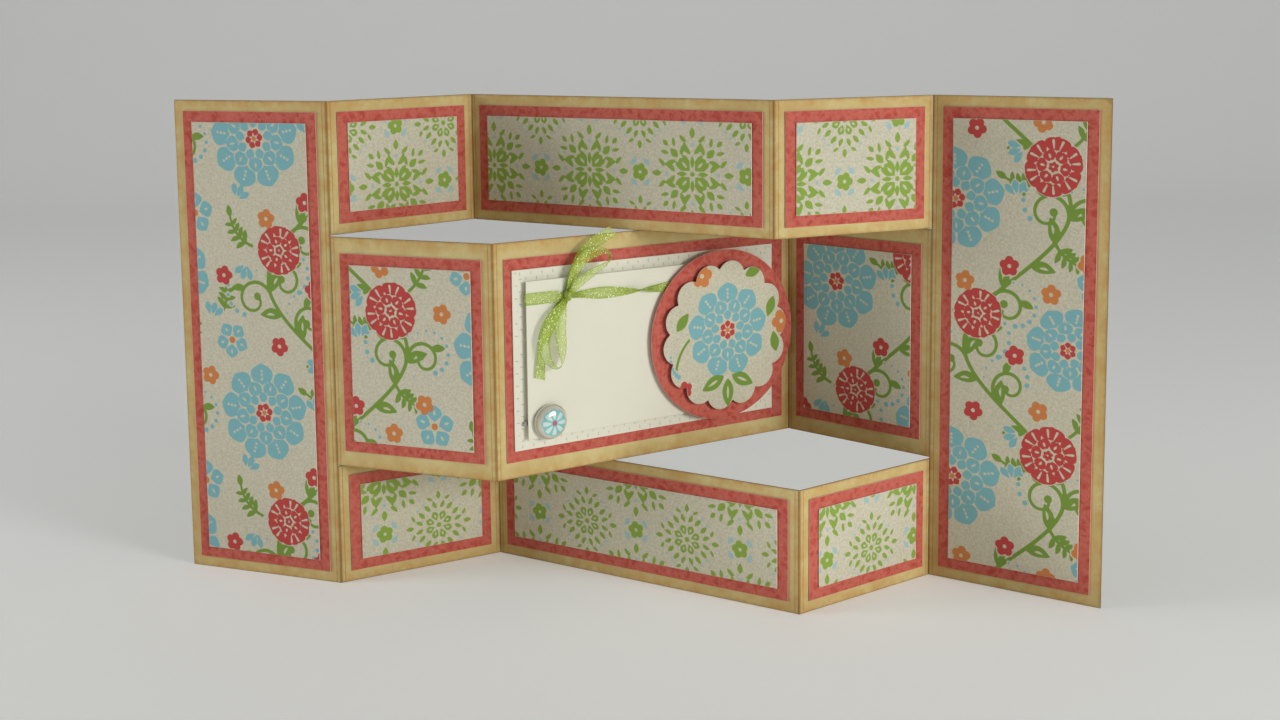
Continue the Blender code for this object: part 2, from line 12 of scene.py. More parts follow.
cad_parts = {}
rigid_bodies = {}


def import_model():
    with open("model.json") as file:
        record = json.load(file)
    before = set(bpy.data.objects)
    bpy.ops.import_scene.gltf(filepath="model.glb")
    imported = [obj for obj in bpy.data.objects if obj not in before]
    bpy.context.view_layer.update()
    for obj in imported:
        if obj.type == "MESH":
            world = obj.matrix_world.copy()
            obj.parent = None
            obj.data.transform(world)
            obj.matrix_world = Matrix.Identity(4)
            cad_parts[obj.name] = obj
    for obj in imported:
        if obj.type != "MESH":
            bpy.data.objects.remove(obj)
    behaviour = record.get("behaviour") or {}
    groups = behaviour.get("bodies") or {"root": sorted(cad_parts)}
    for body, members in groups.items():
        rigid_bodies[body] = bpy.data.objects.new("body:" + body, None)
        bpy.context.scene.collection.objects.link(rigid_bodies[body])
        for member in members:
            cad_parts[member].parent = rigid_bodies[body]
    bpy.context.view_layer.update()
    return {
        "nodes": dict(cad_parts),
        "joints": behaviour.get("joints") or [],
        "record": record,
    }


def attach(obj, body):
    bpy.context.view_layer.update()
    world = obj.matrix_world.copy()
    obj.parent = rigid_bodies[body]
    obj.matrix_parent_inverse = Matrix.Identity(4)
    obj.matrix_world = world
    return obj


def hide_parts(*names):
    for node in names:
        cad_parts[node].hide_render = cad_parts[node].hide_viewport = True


bl_info = {
    "name": "Tri-fold shutter card",
    "version": (1, 0, 0),
    "blender": (4, 5, 0),
    "location": "View3D > Sidebar > Card",
    "description": "Dresses a folded shutter card with its card, papers, tag, ribbon bow, brad and stage",
    "category": "Object",
}

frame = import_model()
UP = np.array([0.0, 0.0, 1.0])
MM = 1000.0
NEAR = 0.0005  # Places closer than this lie on one crease or edge
PIVOT_CLEARANCE = 0.0008  # An end that stands further off its crease is an open end of the linkage
CREASE_REACH = 0.02  # Greatest distance from a crease that is stored
WORN_SHARE = 0.3  # Share of its thickness that a worn edge keeps
EDGE_ROUNDS = np.array([0.0, 0.12, 0.45, 1.0])  # Stations across a worn edge, in shares of its radius
PLAIN_MARGIN = 0.00012  # Room between a worn edge and the first plain station
CORNER_REACH = 6.0  # Millimetres from a corner over which it rises


# Properties

def ink(red, green, blue):
    """A colour written as 0 to 255, as the linear values that shaders take."""
    shares = [part / 255 for part in (red, green, blue)]
    return tuple(part / 12.92 if part <= 0.04045 else ((part + 0.055) / 1.055) ** 2.4 for part in shares)


def colour(name, description, *rgb):
    return bpy.props.FloatVectorProperty(name=name, description=description, default=ink(*rgb), size=3,
                                         min=0.0, max=1.0, subtype="COLOR")


def length(name, description, default):
    return bpy.props.FloatProperty(name=name, description=description, default=default, unit="LENGTH",
                                   precision=5)


def angle(name, description, degrees):
    return bpy.props.FloatProperty(name=name, description=description, default=math.radians(degrees),
                                   subtype="ANGLE")


def number(name, description, default):
    return bpy.props.FloatProperty(name=name, description=description, default=default)


def whole(name, description, default):
    return bpy.props.IntProperty(name=name, description=description, default=default, min=1)


class CardLook(bpy.types.PropertyGroup):
    card: colour("Card", "The base card", 210, 188, 128)
    inked: colour("Edge ink", "Ink rubbed on the card's edges and creases", 204, 150, 76)
    burnt: colour("Burnt ink", "The darkest ink, along edges and folds", 132, 88, 40)
    dark_edge: colour("Cut edge", "The card's inked cut edge", 112, 82, 42)
    mat: colour("Mat", "The red mats and the round tag", 188, 71, 59)
    mat_light: colour("Mat print", "The faint print on the mats", 210, 115, 98)
    mat_core: colour("Mat core", "The mats' pale cut edge", 232, 176, 166)
    white: colour("White card", "The embossed mat and the writing panel", 243, 241, 222)
    foam: colour("Foam", "The foam pads", 232, 231, 222)
    step: length("Sheet step", "Spacing of the points of plain sheets", 0.0016)
    print_step: length("Print step", "Spacing of the points of printed papers", 0.00036)
    worn: length("Worn edge", "Radius of a sheet's worn edge", 0.00009)
    crease_gap: length("Crease gap", "Clearance of a facing end from its neighbour's nose", 0.00002)
    pivot_gap: length("Open crease gap", "The same where the outer bands meet the right flap", 0.00016)
    corner_lift: length("Corner lift", "How far a glued sheet's corners rise", 0.00007)
    press_depth: length("Pressed depth", "Depth of the embossed border", 0.00011)


class PrintLook(bpy.types.PropertyGroup):
    parchment: colour("Parchment", "Ground of the printed papers", 224, 219, 196)
    speck: colour("Parchment grain", "Darker grain of the ground", 190, 184, 158)
    red: colour("Red ink", "Red flowers", 196, 52, 54)
    green: colour("Leaf ink", "Vines and leaves", 116, 154, 46)
    aqua: colour("Aqua ink", "Large blossoms", 124, 186, 194)
    orange: colour("Orange ink", "Small flowers", 214, 128, 62)
    meadow: colour("Medallion ink", "Leaves of the medallions", 138, 172, 58)
    sky: colour("Pale blue ink", "Drops between the medallions", 166, 200, 200)


class RibbonLook(bpy.types.PropertyGroup):
    width: length("Width", "Ribbon width", 0.0034)
    thickness: length("Thickness", "Ribbon thickness", 0.00006)
    lime: colour("Ribbon", "Organza", 190, 219, 40)
    thread: colour("Selvage", "Denser threads along the edges", 154, 188, 20)
    # Mostly a painted highlight: a near-white base colour that stands in for the metallic threads' glints
    glitter_highlight: colour("Glitter", "Metallic threads", 255, 255, 212)
    cover: number("Cover", "How much of the light one face stops between its threads, 0 to 1", 0.17)
    gather: number("Gather", "Share of its width that the ribbon keeps at the knot", 0.45)
    pleat: length("Pleats", "Depth of the pleats where it is gathered", 0.00028)
    cup: length("Cup", "How far the ribbon's middle stands off its edges", 0.0004)
    strand_step: length("Strand step", "How far a loop's strands lie before and behind the knot", 0.0006)
    loop_rise: length("Loop rise", "How far the loops' ends stand off the card", 0.0020)
    twist: length("Twist", "Distance of the band's twist from the writing panel's left edge", 0.0372)
    knot_layers: number("Knot layers", "Layers of ribbon in the knot beyond the first", 1.7)


class BradLook(bpy.types.PropertyGroup):
    pearl: colour("Pearl", "The dome's side", 212, 208, 190)
    top: colour("Petals", "White petals of the printed flower", 236, 240, 232)
    petal: colour("Flower", "Blue ground of the printed flower", 128, 202, 200)
    eye: colour("Eye", "Middle of the printed flower", 186, 84, 98)
    petals: whole("Petals", "Number of printed petals", 8)
    flower: length("Flower radius", "Radius of the printed flower", 0.0039)
    metal: colour("Metal", "Plated legs", 150, 146, 136)


class StageLook(bpy.types.PropertyGroup):
    place: bpy.props.FloatVectorProperty(name="Camera place", description="Where the camera stands",
                                         default=(0.0003, -0.4491, 0.1617), size=3, unit="LENGTH")
    turn: angle("Turn", "Camera turn towards the right", 0.794)
    tilt: angle("Tilt", "Camera tilt, downwards", 6.684)
    roll: angle("Roll", "Camera roll", -0.568)
    lens: number("Lens", "Focal length in millimetres on a 36 mm sensor", 44.7)
    shift_x: number("Shift across", "Sideways lens shift", -0.0037)
    shift_y: number("Shift up", "Upward lens shift", -0.121)
    floor: colour("Floor", "Floor and backdrop", 240, 241, 238)
    glow: number("Floor glow", "How much lighter the floor and backdrop look than they are lit", 0.2)
    key: number("Key light", "Power of the soft light at the right", 3.7)
    side: number("Side light", "Power of the soft light at the far left", 2.4)
    bounce: number("Bounce light", "Power of the light that the floor throws up in front of the card", 0.09)
    sky: number("Room light", "Strength of the room's own light", 0.24)
    view_sky: number("Room seen", "Strength of the room where the camera looks past the backdrop", 0.46)


# Shader nodes

class Value:
    """A number or colour that varies over a surface. Arithmetic on it adds Math nodes."""

    def __init__(self, paint, socket):
        self.paint = paint
        self.socket = socket

    def math(self, operation, *others):
        return self.paint.node("ShaderNodeMath", {"operation": operation}, dict(enumerate((self, *others))))

    def __add__(self, other):
        return self.math("ADD", other)

    def __sub__(self, other):
        return self.math("SUBTRACT", other)

    def __mul__(self, other):
        return self.math("MULTIPLY", other)

    def __rsub__(self, other):
        return self.paint.node("ShaderNodeMath", {"operation": "SUBTRACT"}, {0: other, 1: self})

    __radd__ = __add__
    __rmul__ = __mul__

    def __abs__(self):
        return self.math("ABSOLUTE")

    def least(self, other):
        return self.math("MINIMUM", other)

    def most(self, other):
        return self.math("MAXIMUM", other)

    def fade(self, start, end):
        """0 at start and 1 at end, smoothly; start may be the greater."""
        return self.paint.node("ShaderNodeMapRange", {"interpolation_type": "SMOOTHSTEP"},
                               {0: self, 1: start, 2: end, 3: 0.0, 4: 1.0})

    def wave(self, period):
        """Distance from the nearest multiple of the period: 0 there and half the period between."""
        return self.math("PINGPONG", period / 2)


class Paint:
    """One material: its nodes and its surface shader."""

    def __init__(self, name, fixed):
        self.material = bpy.data.materials.new(name)
        self.material.use_nodes = True
        self.tree = self.material.node_tree
        self.tree.nodes.clear()
        self.shader = self.tree.nodes.new("ShaderNodeBsdfPrincipled")
        output = self.tree.nodes.new("ShaderNodeOutputMaterial")
        self.tree.links.new(self.shader.outputs[0], output.inputs[0])
        self.set(self.shader, fixed)
        self.place = self.node("ShaderNodeTexCoord", output="Object")

    def set(self, node, values):
        """Give a node's sockets their numbers, colours or links."""
        for key, value in values.items():
            socket = node.inputs[key]
            if isinstance(value, Value):
                self.tree.links.new(value.socket, socket)
            elif socket.type == "RGBA":
                socket.default_value = (*value, 1.0)
            else:
                socket.default_value = value

    def node(self, kind, settings=None, values=None, output=0):
        """Add a node: first its settings, then its sockets."""
        node = self.tree.nodes.new(kind)
        for key, value in (settings or {}).items():
            setattr(node, key, value)
        self.set(node, values or {})
        return Value(self, node.outputs[output])

    def mark(self, name, output="Fac"):
        """A mark that is stored on the mesh's points."""
        return self.node("ShaderNodeAttribute", {"attribute_name": name}, output=output)

    def parts(self, vector):
        return [self.node("ShaderNodeSeparateXYZ", values={0: vector}, output=axis) for axis in "XYZ"]

    def noise(self, size_mm, detail=3.0, rough=0.55, drawn=False):
        """Soft noise from 0 to 1 in patches of this many millimetres, or drawn out tenfold upwards."""
        place = self.place
        if drawn:
            upward = {0: place, 1: (1.0, 1.0, 0.1)}
            place = self.node("ShaderNodeVectorMath", {"operation": "MULTIPLY"}, upward)
        values = {"Vector": place, "Scale": MM / size_mm, "Detail": detail, "Roughness": rough}
        return self.node("ShaderNodeTexNoise", values=values)

    def cells(self, feature, scale, place=None, output=0, **more):
        """Cells that are this many to the metre, or to a unit of the place that is given."""
        values = {"Vector": place or self.place, "Scale": scale, **more}
        return self.node("ShaderNodeTexVoronoi", {"feature": feature}, values, output)

    def mix(self, share, first, second):
        """The first colour where share is 0 and the second where it is 1."""
        return self.node("ShaderNodeMix", {"data_type": "RGBA"}, {0: share, 6: first, 7: second}, output=2)

    def shade(self, base, change):
        """A colour made darker or lighter by a number near 1."""
        return self.node("ShaderNodeVectorMath", {"operation": "SCALE"}, {0: base, "Scale": change})

    def bump(self, height, distance, strength):
        values = {"Height": height, "Distance": distance, "Strength": strength}
        return self.node("ShaderNodeBump", values=values)

    def finish(self, **links):
        self.set(self.shader, {key.replace("_", " "): value for key, value in links.items()})
        return self.material


# Surfaces

def grid_faces(rows, columns, around=False):
    """Faces of a grid of points, row by row; around joins the last column to the first."""
    index = np.arange(rows * columns).reshape(rows, columns)
    if around:
        index = np.hstack([index, index[:, :1]])
    return np.stack([index[:-1, :-1], index[1:, :-1], index[1:, 1:], index[:-1, 1:]], axis=-1).reshape(-1, 4)


def shell_faces(rows, columns):
    """Faces of a front grid, of the back grid after it and of the wall between their rims."""
    index = np.arange(rows * columns).reshape(rows, columns)
    front = grid_faces(rows, columns)
    rim = np.concatenate([index[0, :-1], index[:-1, -1], index[-1, :0:-1], index[:0:-1, 0]])
    ahead = np.roll(rim, -1)
    behind = rows * columns
    wall = np.stack([rim, ahead, ahead + behind, rim + behind], axis=-1)
    return np.vstack([front, front[:, ::-1] + behind, wall])


def turned_faces(rings, sectors):
    """Faces of rings round an axis, and of the fans to the two poles that follow them."""
    ring = np.arange(sectors)
    ahead = np.roll(ring, -1)
    last = (rings - 1) * sectors
    first_pole = np.full(sectors, rings * sectors)
    fans = np.vstack([np.stack([ring, ahead, first_pole], -1),
                      np.stack([ahead + last, ring + last, first_pole + 1], -1)])
    return grid_faces(rings, sectors, around=True), fans


def add_piece(name, points, marks, quads, fans=np.empty((0, 3), int)):
    """A closed mesh with marks on its points; if its volume comes out negative, every face is turned over."""
    faces = quads.tolist() + fans.tolist()
    a, b, c = (points[corner] for corner in np.vstack([quads[:, :3], quads[:, (0, 2, 3)], fans]).T)
    if np.einsum("ij,ij->", a, np.cross(b, c)) < 0:
        faces = [face[::-1] for face in faces]
    mesh = bpy.data.meshes.new(name)
    mesh.from_pydata(points.tolist(), [], faces)
    for key, values in marks.items():
        values = np.asarray(values, np.float32)
        kind, part = ("FLOAT_VECTOR", "vector") if values.ndim == 2 else ("FLOAT", "value")
        mesh.attributes.new(key, kind, "POINT").data.foreach_set(part, values.ravel())
    mesh.polygons.foreach_set("use_smooth", np.ones(len(faces), bool))
    mesh.set_sharp_from_angle(angle=math.radians(40))
    mesh.update()
    piece = bpy.data.objects.new(name, mesh)
    bpy.context.collection.objects.link(piece)
    return piece


def dress(piece, body, material, node):
    """Give a finished piece its material and body, and hide the CAD node that it stands for."""
    piece.data.materials.append(material)
    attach(piece, body)
    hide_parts(node)


class Panel:
    """A creased panel's own directions: along it from its left end, out of its front, and up."""

    def __init__(self, left, right):
        run = np.array([*(np.asarray(right) - left)[:2], 0.0])
        self.origin = np.array([*left[:2], 0.0])
        self.length = float(np.linalg.norm(run))
        self.along = run / self.length
        self.front = np.array([self.along[1], -self.along[0], 0.0])

    def points(self, along, up, lift):
        """Places from distances along, up and out of the panel's middle plane."""
        along, up, lift = np.broadcast_arrays(along, up, lift)
        local = np.stack([along, up, lift], axis=-1).reshape(-1, 3)
        return self.origin + local @ np.stack([self.along, UP, self.front])

    def ends(self):
        """Each end's place, and the way from it along the panel."""
        return (self.origin, self.along), (self.origin + self.along * self.length, -self.along)

    def extent(self, node):
        """A CAD node's lowest, highest and middle place and half its size: along, up and out of the panel."""
        corners = node_points(node) - self.origin
        local = corners @ np.stack([self.along, UP, self.front], axis=1)
        low, high = local.min(0), local.max(0)
        return low, high, (low + high) / 2, (high - low) / 2


def node_points(node):
    vertices = frame["nodes"][node].data.vertices
    values = np.empty(len(vertices) * 3)
    vertices.foreach_get("co", values)
    return values.reshape(-1, 3)


def find_panels():
    """Each panel between its creases, which are joints of the frame; a flap ends at its furthest edge."""
    fold = {joint["name"]: np.array(joint["pos_m"]) for joint in frame["joints"]}
    ends = {}
    for band in ("top", "middle", "bottom"):
        first, last = f"{band}_centre_fold", f"{band}_right_fold"
        if band == "middle":
            first, last = "middle_left_fold", "middle_right_fold"
        ends[band + "_left"] = (fold["left_flap_fold"], fold[first])
        ends[band + "_centre"] = (fold[first], fold[last])
        ends[band + "_right"] = (fold[last], fold["right_flap_fold"])
    for side in ("left", "right"):
        crease = fold[side + "_flap_fold"]
        away = (node_points(side + "_flap") - crease) * (1, 1, 0)
        reach = np.linalg.norm(away, axis=1)
        far = crease + np.unique(away[reach > reach.max() - NEAR].round(6), axis=0).mean(axis=0)
        ends[side + "_flap"] = (far, crease) if side == "left" else (crease, far)
    return {name: Panel(*pair) for name, pair in ends.items()}


panels = find_panels()
centre_panel = panels["middle_centre"]


def body_turns(body):
    """How many degrees a body turns about the vertical for each degree of the joints that lead the others."""
    joint_to = {joint["child"]: joint for joint in frame["joints"]}
    followed = {pair["joint"]: pair for pair in frame["record"]["behaviour"]["couplings"]}
    turns = {}
    while body in joint_to:
        joint = joint_to[body]
        pair = followed.get(joint["name"], {"follows": joint["name"], "ratio": 1.0})
        turns[pair["follows"]] = turns.get(pair["follows"], 0.0) + pair["ratio"] * joint["axis"][2]
        body = joint["parent"]
    return turns


def least_angle(name, end):
    """Smallest angle of a panel with its neighbour at a crease, 90 degrees at most.

    It is taken with each leading joint at a limit alone, and with all of them at one.
    """
    crease, heading = panels[name].ends()[end]
    low, high, *_ = panels[name].extent(name)
    ranges = {joint["name"]: np.array(joint["range_deg"]) for joint in frame["joints"]}
    own = body_turns(name)
    least = 90.0
    for other, panel in panels.items():
        other_low, other_high, *_ = panel.extent(other)
        beside = other != name and other_low[1] < high[1] and other_high[1] > low[1]
        for place, way in panel.ends():
            if beside and np.linalg.norm(place - crease) < NEAR:
                rest = math.degrees(math.atan2(way[1], way[0]) - math.atan2(heading[1], heading[0])) % 360
                theirs = body_turns(other)
                swings = [(theirs.get(lead, 0.0) - own.get(lead, 0.0)) * ranges[lead]
                          for lead in {**own, **theirs}]
                swings = np.vstack(swings + [sum(swings)])
                least = min(least, rest + swings.min(), 360 - rest - swings.max())
    return least


def stations(low, high, step, worn):
    """Even stations from end to end, with four more where each end's edge is worn round."""
    rounds = worn * EDGE_ROUNDS
    spare = worn + PLAIN_MARGIN
    count = max(2, int(round((high - low) / step)))
    inner = np.linspace(low + spare, high - spare, count + 1)
    return np.concatenate([low + rounds, inner, (high - rounds)[::-1]])


# The pressed border in millimetres: rows of dashes, each some way in and offset along, and a line inside them
BORDER_ROWS = ((1.15, 0.0), (2.6, 1.75))
ROW_OVERRUN = 0.3
BORDER_LINE, LINE_HALF_WIDTH, LINE_PRESS = 3.9, 0.2, 0.6
DASH_PITCH, DASH_HALF_WIDTH, DASH_HALF_LENGTH = 3.5, 0.28, 0.62
EDGE_MARGIN, LEAST_SPACING = 0.3, 0.06


def border_stations(low, high, worn):
    """Stations of an embossed sheet: on and beside each dash of its border, and across its rows."""
    middle, reach = (low + high) / 2 * MM, (high - low) / 2 * MM
    count = int(2 * reach / DASH_PITCH)
    dashes = np.arange(-count, count + 1)[:, None] * DASH_PITCH / 2 + (-DASH_HALF_WIDTH, 0.0, DASH_HALF_WIDTH)
    across = DASH_HALF_LENGTH * np.array([-1.0, -0.5, 0.5, 1.0])
    rows = [depth + across for depth, _ in BORDER_ROWS]
    rows = np.concatenate([*rows, BORDER_LINE + LINE_HALF_WIDTH * np.array([-1.0, 0.0, 1.0])])
    places = np.concatenate([dashes.ravel(), reach - rows, rows - reach])
    places = np.sort(places[np.abs(places) < reach - EDGE_MARGIN])
    places = places[np.append(True, np.diff(places) > LEAST_SPACING)]
    rounds = worn * MM * EDGE_ROUNDS
    return (middle + np.concatenate([rounds - reach, places, (reach - rounds)[::-1]])) / MM


def pressed_border(points, reach):
    """How far an embossed border is pressed in, 0 to 1: staggered rows of dashes and a line inside them."""
    inward = reach - np.abs(points)
    away = np.abs(inward.min(axis=1) - BORDER_LINE)
    press = np.clip(1 - away / LINE_HALF_WIDTH, 0, 1) * LINE_PRESS
    for depth, offset in BORDER_ROWS:
        for run in (0, 1):
            away = np.abs((points[:, run] - offset + DASH_PITCH / 2) % DASH_PITCH - DASH_PITCH / 2)
            dash = np.clip(1 - away / DASH_HALF_WIDTH, 0, 1) * (inward[:, run] > depth - ROW_OVERRUN)
            row = np.clip(2 - 2 * np.abs(inward[:, 1 - run] - depth) / DASH_HALF_LENGTH, 0, 1)
            press = np.maximum(press, dash * row)
    return press


def worn_share(places, low, high, worn):
    """Share of the full thickness near worn ends: a quarter circle, from WORN_SHARE at the edge to 1."""
    inward = np.clip(np.minimum(places - low, high - places) / worn, 0, 1)
    return np.maximum(np.sqrt(1 - (1 - inward) ** 2), WORN_SHARE)


def flat_sheet(name, panel, node, step, look, marks=None, embossed=False):
    """A thin sheet on a panel: lift(x, z) = middle +- half thickness x worn share + a rise at the corners.

    marks is a function of the points on the sheet in millimetres, which gives further marks. The front of an
    embossed sheet is pressed in by its border, and its stations stand where that border needs them.
    """
    low, high, middle, size = panel.extent(node)
    along, up = (border_stations(low[i], high[i], look.worn) if embossed
                 else stations(low[i], high[i], step, look.worn) for i in (0, 1))
    share = np.minimum(worn_share(along, low[0], high[0], look.worn)[None, :],
                       worn_share(up, low[1], high[1], look.worn)[:, None])
    half_x, half_z, half = size * (MM, MM, 1)
    x, z = np.meshgrid((along - middle[0]) * MM, (up - middle[1]) * MM)
    away_x, away_z = half_x - np.abs(x), half_z - np.abs(z)
    corner = np.clip(1 - np.hypot(away_x, away_z) / CORNER_REACH, 0, 1) ** 2
    rise = middle[2] + look.corner_lift * corner
    front = rise + half * share
    spots = np.stack([x.ravel(), z.ravel()], axis=1)
    further = marks(spots) if marks else {}
    if embossed:
        further["press"] = pressed_border(spots, (half_x, half_z))
        front = front - further["press"].reshape(x.shape) * look.press_depth
    across, over = np.meshgrid(along, up)
    points = np.vstack([panel.points(across, over, front), panel.points(across, over, rise - half * share)])
    spot = np.column_stack([spots, np.full(x.size, half * MM)])
    kept = {"edge": np.tile(np.minimum(away_x, away_z).ravel(), 2),
            "spot": np.vstack([spot, spot * (1, 1, -1)])}
    for key, values in further.items():
        kept[key] = np.concatenate([values, values])
    return add_piece(name, points, kept, shell_faces(len(up), len(along)))


def round_piece(name, centre, profile, outline, sectors, marks=None):
    """A turned piece: at angle a and station s it lies radius(s) x outline(a) from the centre, lift(s) out.

    profile is a list of (radius, lift) between its two poles, which it leaves out; outline gives the share.
    """
    angles = np.linspace(0, 2 * math.pi, sectors, endpoint=False)
    radius, lift = np.array(profile).T
    reach = radius[:, None] * outline(angles)[None, :]
    along, up = reach * np.cos(angles), reach * np.sin(angles)
    lifts = np.repeat(lift[:, None], sectors, axis=1)
    along = np.append(along.ravel(), (0.0, 0.0))
    up = np.append(up.ravel(), (0.0, 0.0))
    lifts = np.append(lifts.ravel(), (lift[0], lift[-1]))
    points = centre_panel.points(centre[0] + along, centre[1] + up, lifts)
    quads, fans = turned_faces(len(radius), sectors)
    full = radius.max() * outline(np.arctan2(up, along))
    middle = (lift.min() + lift.max()) / 2
    kept = {"edge": (full - np.hypot(along, up)) * MM,
            "spot": np.stack([along, up, lifts - middle], axis=1) * MM}
    if marks:
        kept.update(marks(np.stack([along, up], axis=1) * MM))
    return add_piece(name, points, kept, quads, fans)


def disc_profile(radius, low, high, worn, rings):
    """Profile of a flat disc with worn edges, from its front to its back."""
    middle, half = (low + high) / 2, (high - low) / 2
    front = [(r, high) for r in (radius - worn) * np.linspace(1 / rings, 1, rings)]
    for a in np.linspace(0.3, 1.0, 3) * math.pi / 2:
        front.append((radius - worn + worn * np.sin(a), middle + half * max(math.cos(a), WORN_SHARE)))
    return front + [(r, 2 * middle - lift) for r, lift in reversed(front)]


# Prints

def around(points, centre, turn=0.0, repeat=None):
    """Points as seen from a motif's own centre and turn in degrees, or from the nearest of its repeats."""
    local = points - np.array(centre)
    if repeat is not None:
        local = (local + np.array(repeat) / 2) % repeat - np.array(repeat) / 2
    c, s = math.cos(math.radians(turn)), math.sin(math.radians(turn))
    return local @ np.array([[c, -s], [s, c]])


def spun(local, count, turn=0.0):
    """Points folded into one of count equal slices round the centre, whose middle lies along +x."""
    slice_angle = 2 * math.pi / count
    reach = np.hypot(local[:, 0], local[:, 1])
    angles = np.arctan2(local[:, 1], local[:, 0]) - math.radians(turn)
    angles = (angles + slice_angle / 2) % slice_angle - slice_angle / 2
    return np.stack([reach * np.cos(angles), reach * np.sin(angles)], axis=1)


def disc(local, radius, at=(0.0, 0.0)):
    return np.hypot(local[:, 0] - at[0], local[:, 1] - at[1]) - radius


def leaf(local, start, reach, width, skew=1.0, belly=1.0, bend=0.0):
    """A leaf or petal along +x: half as wide as width x sin(pi s**skew)**belly at share s of its length."""
    share = (local[:, 0] - start) / reach
    inside = np.clip(share, 0, 1)
    half = width / 2 * np.sin(math.pi * inside ** skew) ** belly
    aside = np.abs(local[:, 1] - bend * np.sin(math.pi * inside)) - half
    beyond = np.abs(share - inside) * reach
    return np.where(beyond > 0, np.hypot(np.maximum(aside, 0), beyond), aside)


def line(local, path, widths):
    """A drawn line: distance to its nearest segment, less the half width there, between its end widths."""
    path = np.asarray(path, float)
    starts, runs = path[:-1], np.diff(path, axis=0)
    best = np.full(len(local), 1e3)
    for place, (start, run) in enumerate(zip(starts, runs)):
        away = local - start
        share = np.clip(away @ run / (run @ run), 0, 1)
        half = np.interp((place + share) / len(runs), (0, 1), widths) / 2
        best = np.minimum(best, np.hypot(*(away - share[:, None] * run).T) - half)
    return best


def curl(start, heading, radius, sweep, close, count=22):
    """Points of a curl that turns by sweep degrees as its radius shrinks to close of itself."""
    shares = np.linspace(0, 1, count)
    turns = math.radians(heading) + math.radians(sweep) * shares
    radii = radius * (1 - (1 - close) * shares)
    reach = (radii * abs(math.radians(sweep)) / count)[:, None]
    steps = np.stack([np.cos(turns), np.sin(turns)], axis=1) * reach
    return np.array(start) + np.vstack([[0, 0], np.cumsum(steps, axis=0)])


def mirrored(local):
    """Points folded over the x axis, so that what is drawn on one side shows on both."""
    return np.stack([local[:, 0], np.abs(local[:, 1])], axis=1)


def union(*shapes):
    return np.minimum.reduce(shapes)


def cut(shape, *holes):
    return np.maximum(shape, -union(*holes))


def petals(local, count, turn, start, end, full, skew, belly=0.8):
    """A ring of petals between two radii; full is 1 where neighbours touch at their widest."""
    widest = start + (end - start) * 0.5 ** (1 / skew)
    width = 2 * full * widest * math.tan(math.pi / count)
    return leaf(spun(local, count, turn), start, end - start, width, skew, belly)


def veins(local, count, turn, start, end, width=0.7):
    """A thin slit down the middle of each petal of a ring."""
    return leaf(spun(local, count, turn), start, end - start, width, 0.8)


def blossom(local, radius, count, turn):
    """A large blossom of three rings of petals: (petals, red ring of its eye, middle of its eye)."""
    half = turn + 180 / count
    outer = petals(local, count, turn, 0.4 * radius, radius, 0.9, 1.6, 0.72)
    middle = petals(local, count, half, 0.26 * radius, 0.66 * radius, 0.86, 1.4, 0.8)
    inner = petals(local, count, turn, 0.19 * radius, 0.42 * radius, 0.8, 1.3)
    folded = spun(local, count, turn)
    dots = [disc(folded, 0.34 + 0.006 * radius, (share * radius, 0.0)) for share in (0.69, 0.77, 0.85)]
    slits = veins(local, count, half, 0.46 * radius, 0.6 * radius)
    shape = union(cut(outer, middle - 0.5, *dots), cut(middle, inner - 0.45, slits), inner)
    eye = petals(local, 6, turn, 0.05 * radius, 0.2 * radius, 0.86, 1.4)
    return cut(shape, disc(local, 0.22 * radius)), eye, disc(local, 0.05 * radius)


def rose(local, radius, count, turn):
    """A full flower: broad outer petals with two slits in each, an inner ring and a dotted eye."""
    half = turn + 180 / count
    slit = [(0.62 * radius, 0.1 * radius), (0.86 * radius, 0.17 * radius)]
    slits = line(mirrored(spun(local, count, turn)), slit, (0.4, 0.75))
    outer = petals(local, count, turn, 0.3 * radius, radius, 0.97, 2.0, 0.5)
    inner = petals(local, count, half, 0.14 * radius, 0.58 * radius, 0.9, 1.7, 0.6)
    outer = cut(outer, inner - 0.5, slits)
    inner = cut(inner, veins(local, count, half, 0.3 * radius, 0.5 * radius))
    shape = union(outer, inner)
    ring = disc(local, 0.24 * radius)
    return union(cut(shape, ring), petals(local, count, turn, 0.03 * radius, 0.19 * radius, 0.9, 1.3))


def star(local, radius, turn):
    """Five pointed petals, each with a slit."""
    shape = petals(local, 5, turn, 0.22 * radius, radius, 0.82, 1.15, 0.9)
    return cut(shape, veins(local, 5, turn, 0.5 * radius, 0.8 * radius, 0.75))


def small_flower(local, radius, turn):
    """A small flower of five round petals with an open eye."""
    return cut(disc(spun(local, 5, turn), 0.42 * radius, (0.58 * radius, 0.0)), disc(local, 0.2 * radius))


def frond(points, start, heading, reach, repeat, bend, pairs):
    """A bent stem with pairs of slit leaves and one leaf at its tip."""
    stem = around(points, start, 0, repeat)
    path = curl((0, 0), heading, reach / math.radians(abs(bend)), bend, 0.9, 16)
    shapes = [line(stem, path, (0.95, 0.7))]
    for pair in range(pairs):
        place = int(3 + pair * 12 / pairs)
        aim = heading + bend * place / 16
        size = 3.7 - 0.35 * pair
        for side in (-1, 1):
            blade = around(points, np.array(start) + path[place], aim + 60 * side, repeat)
            shapes.append(leaf(blade, 0.2, size, size * 0.44, 0.9, 0.85, -0.3 * side))
    tip = around(points, np.array(start) + path[-1], heading + bend, repeat)
    return union(*shapes, leaf(tip, 0.0, 3.6, 1.9, 0.9, 0.85))


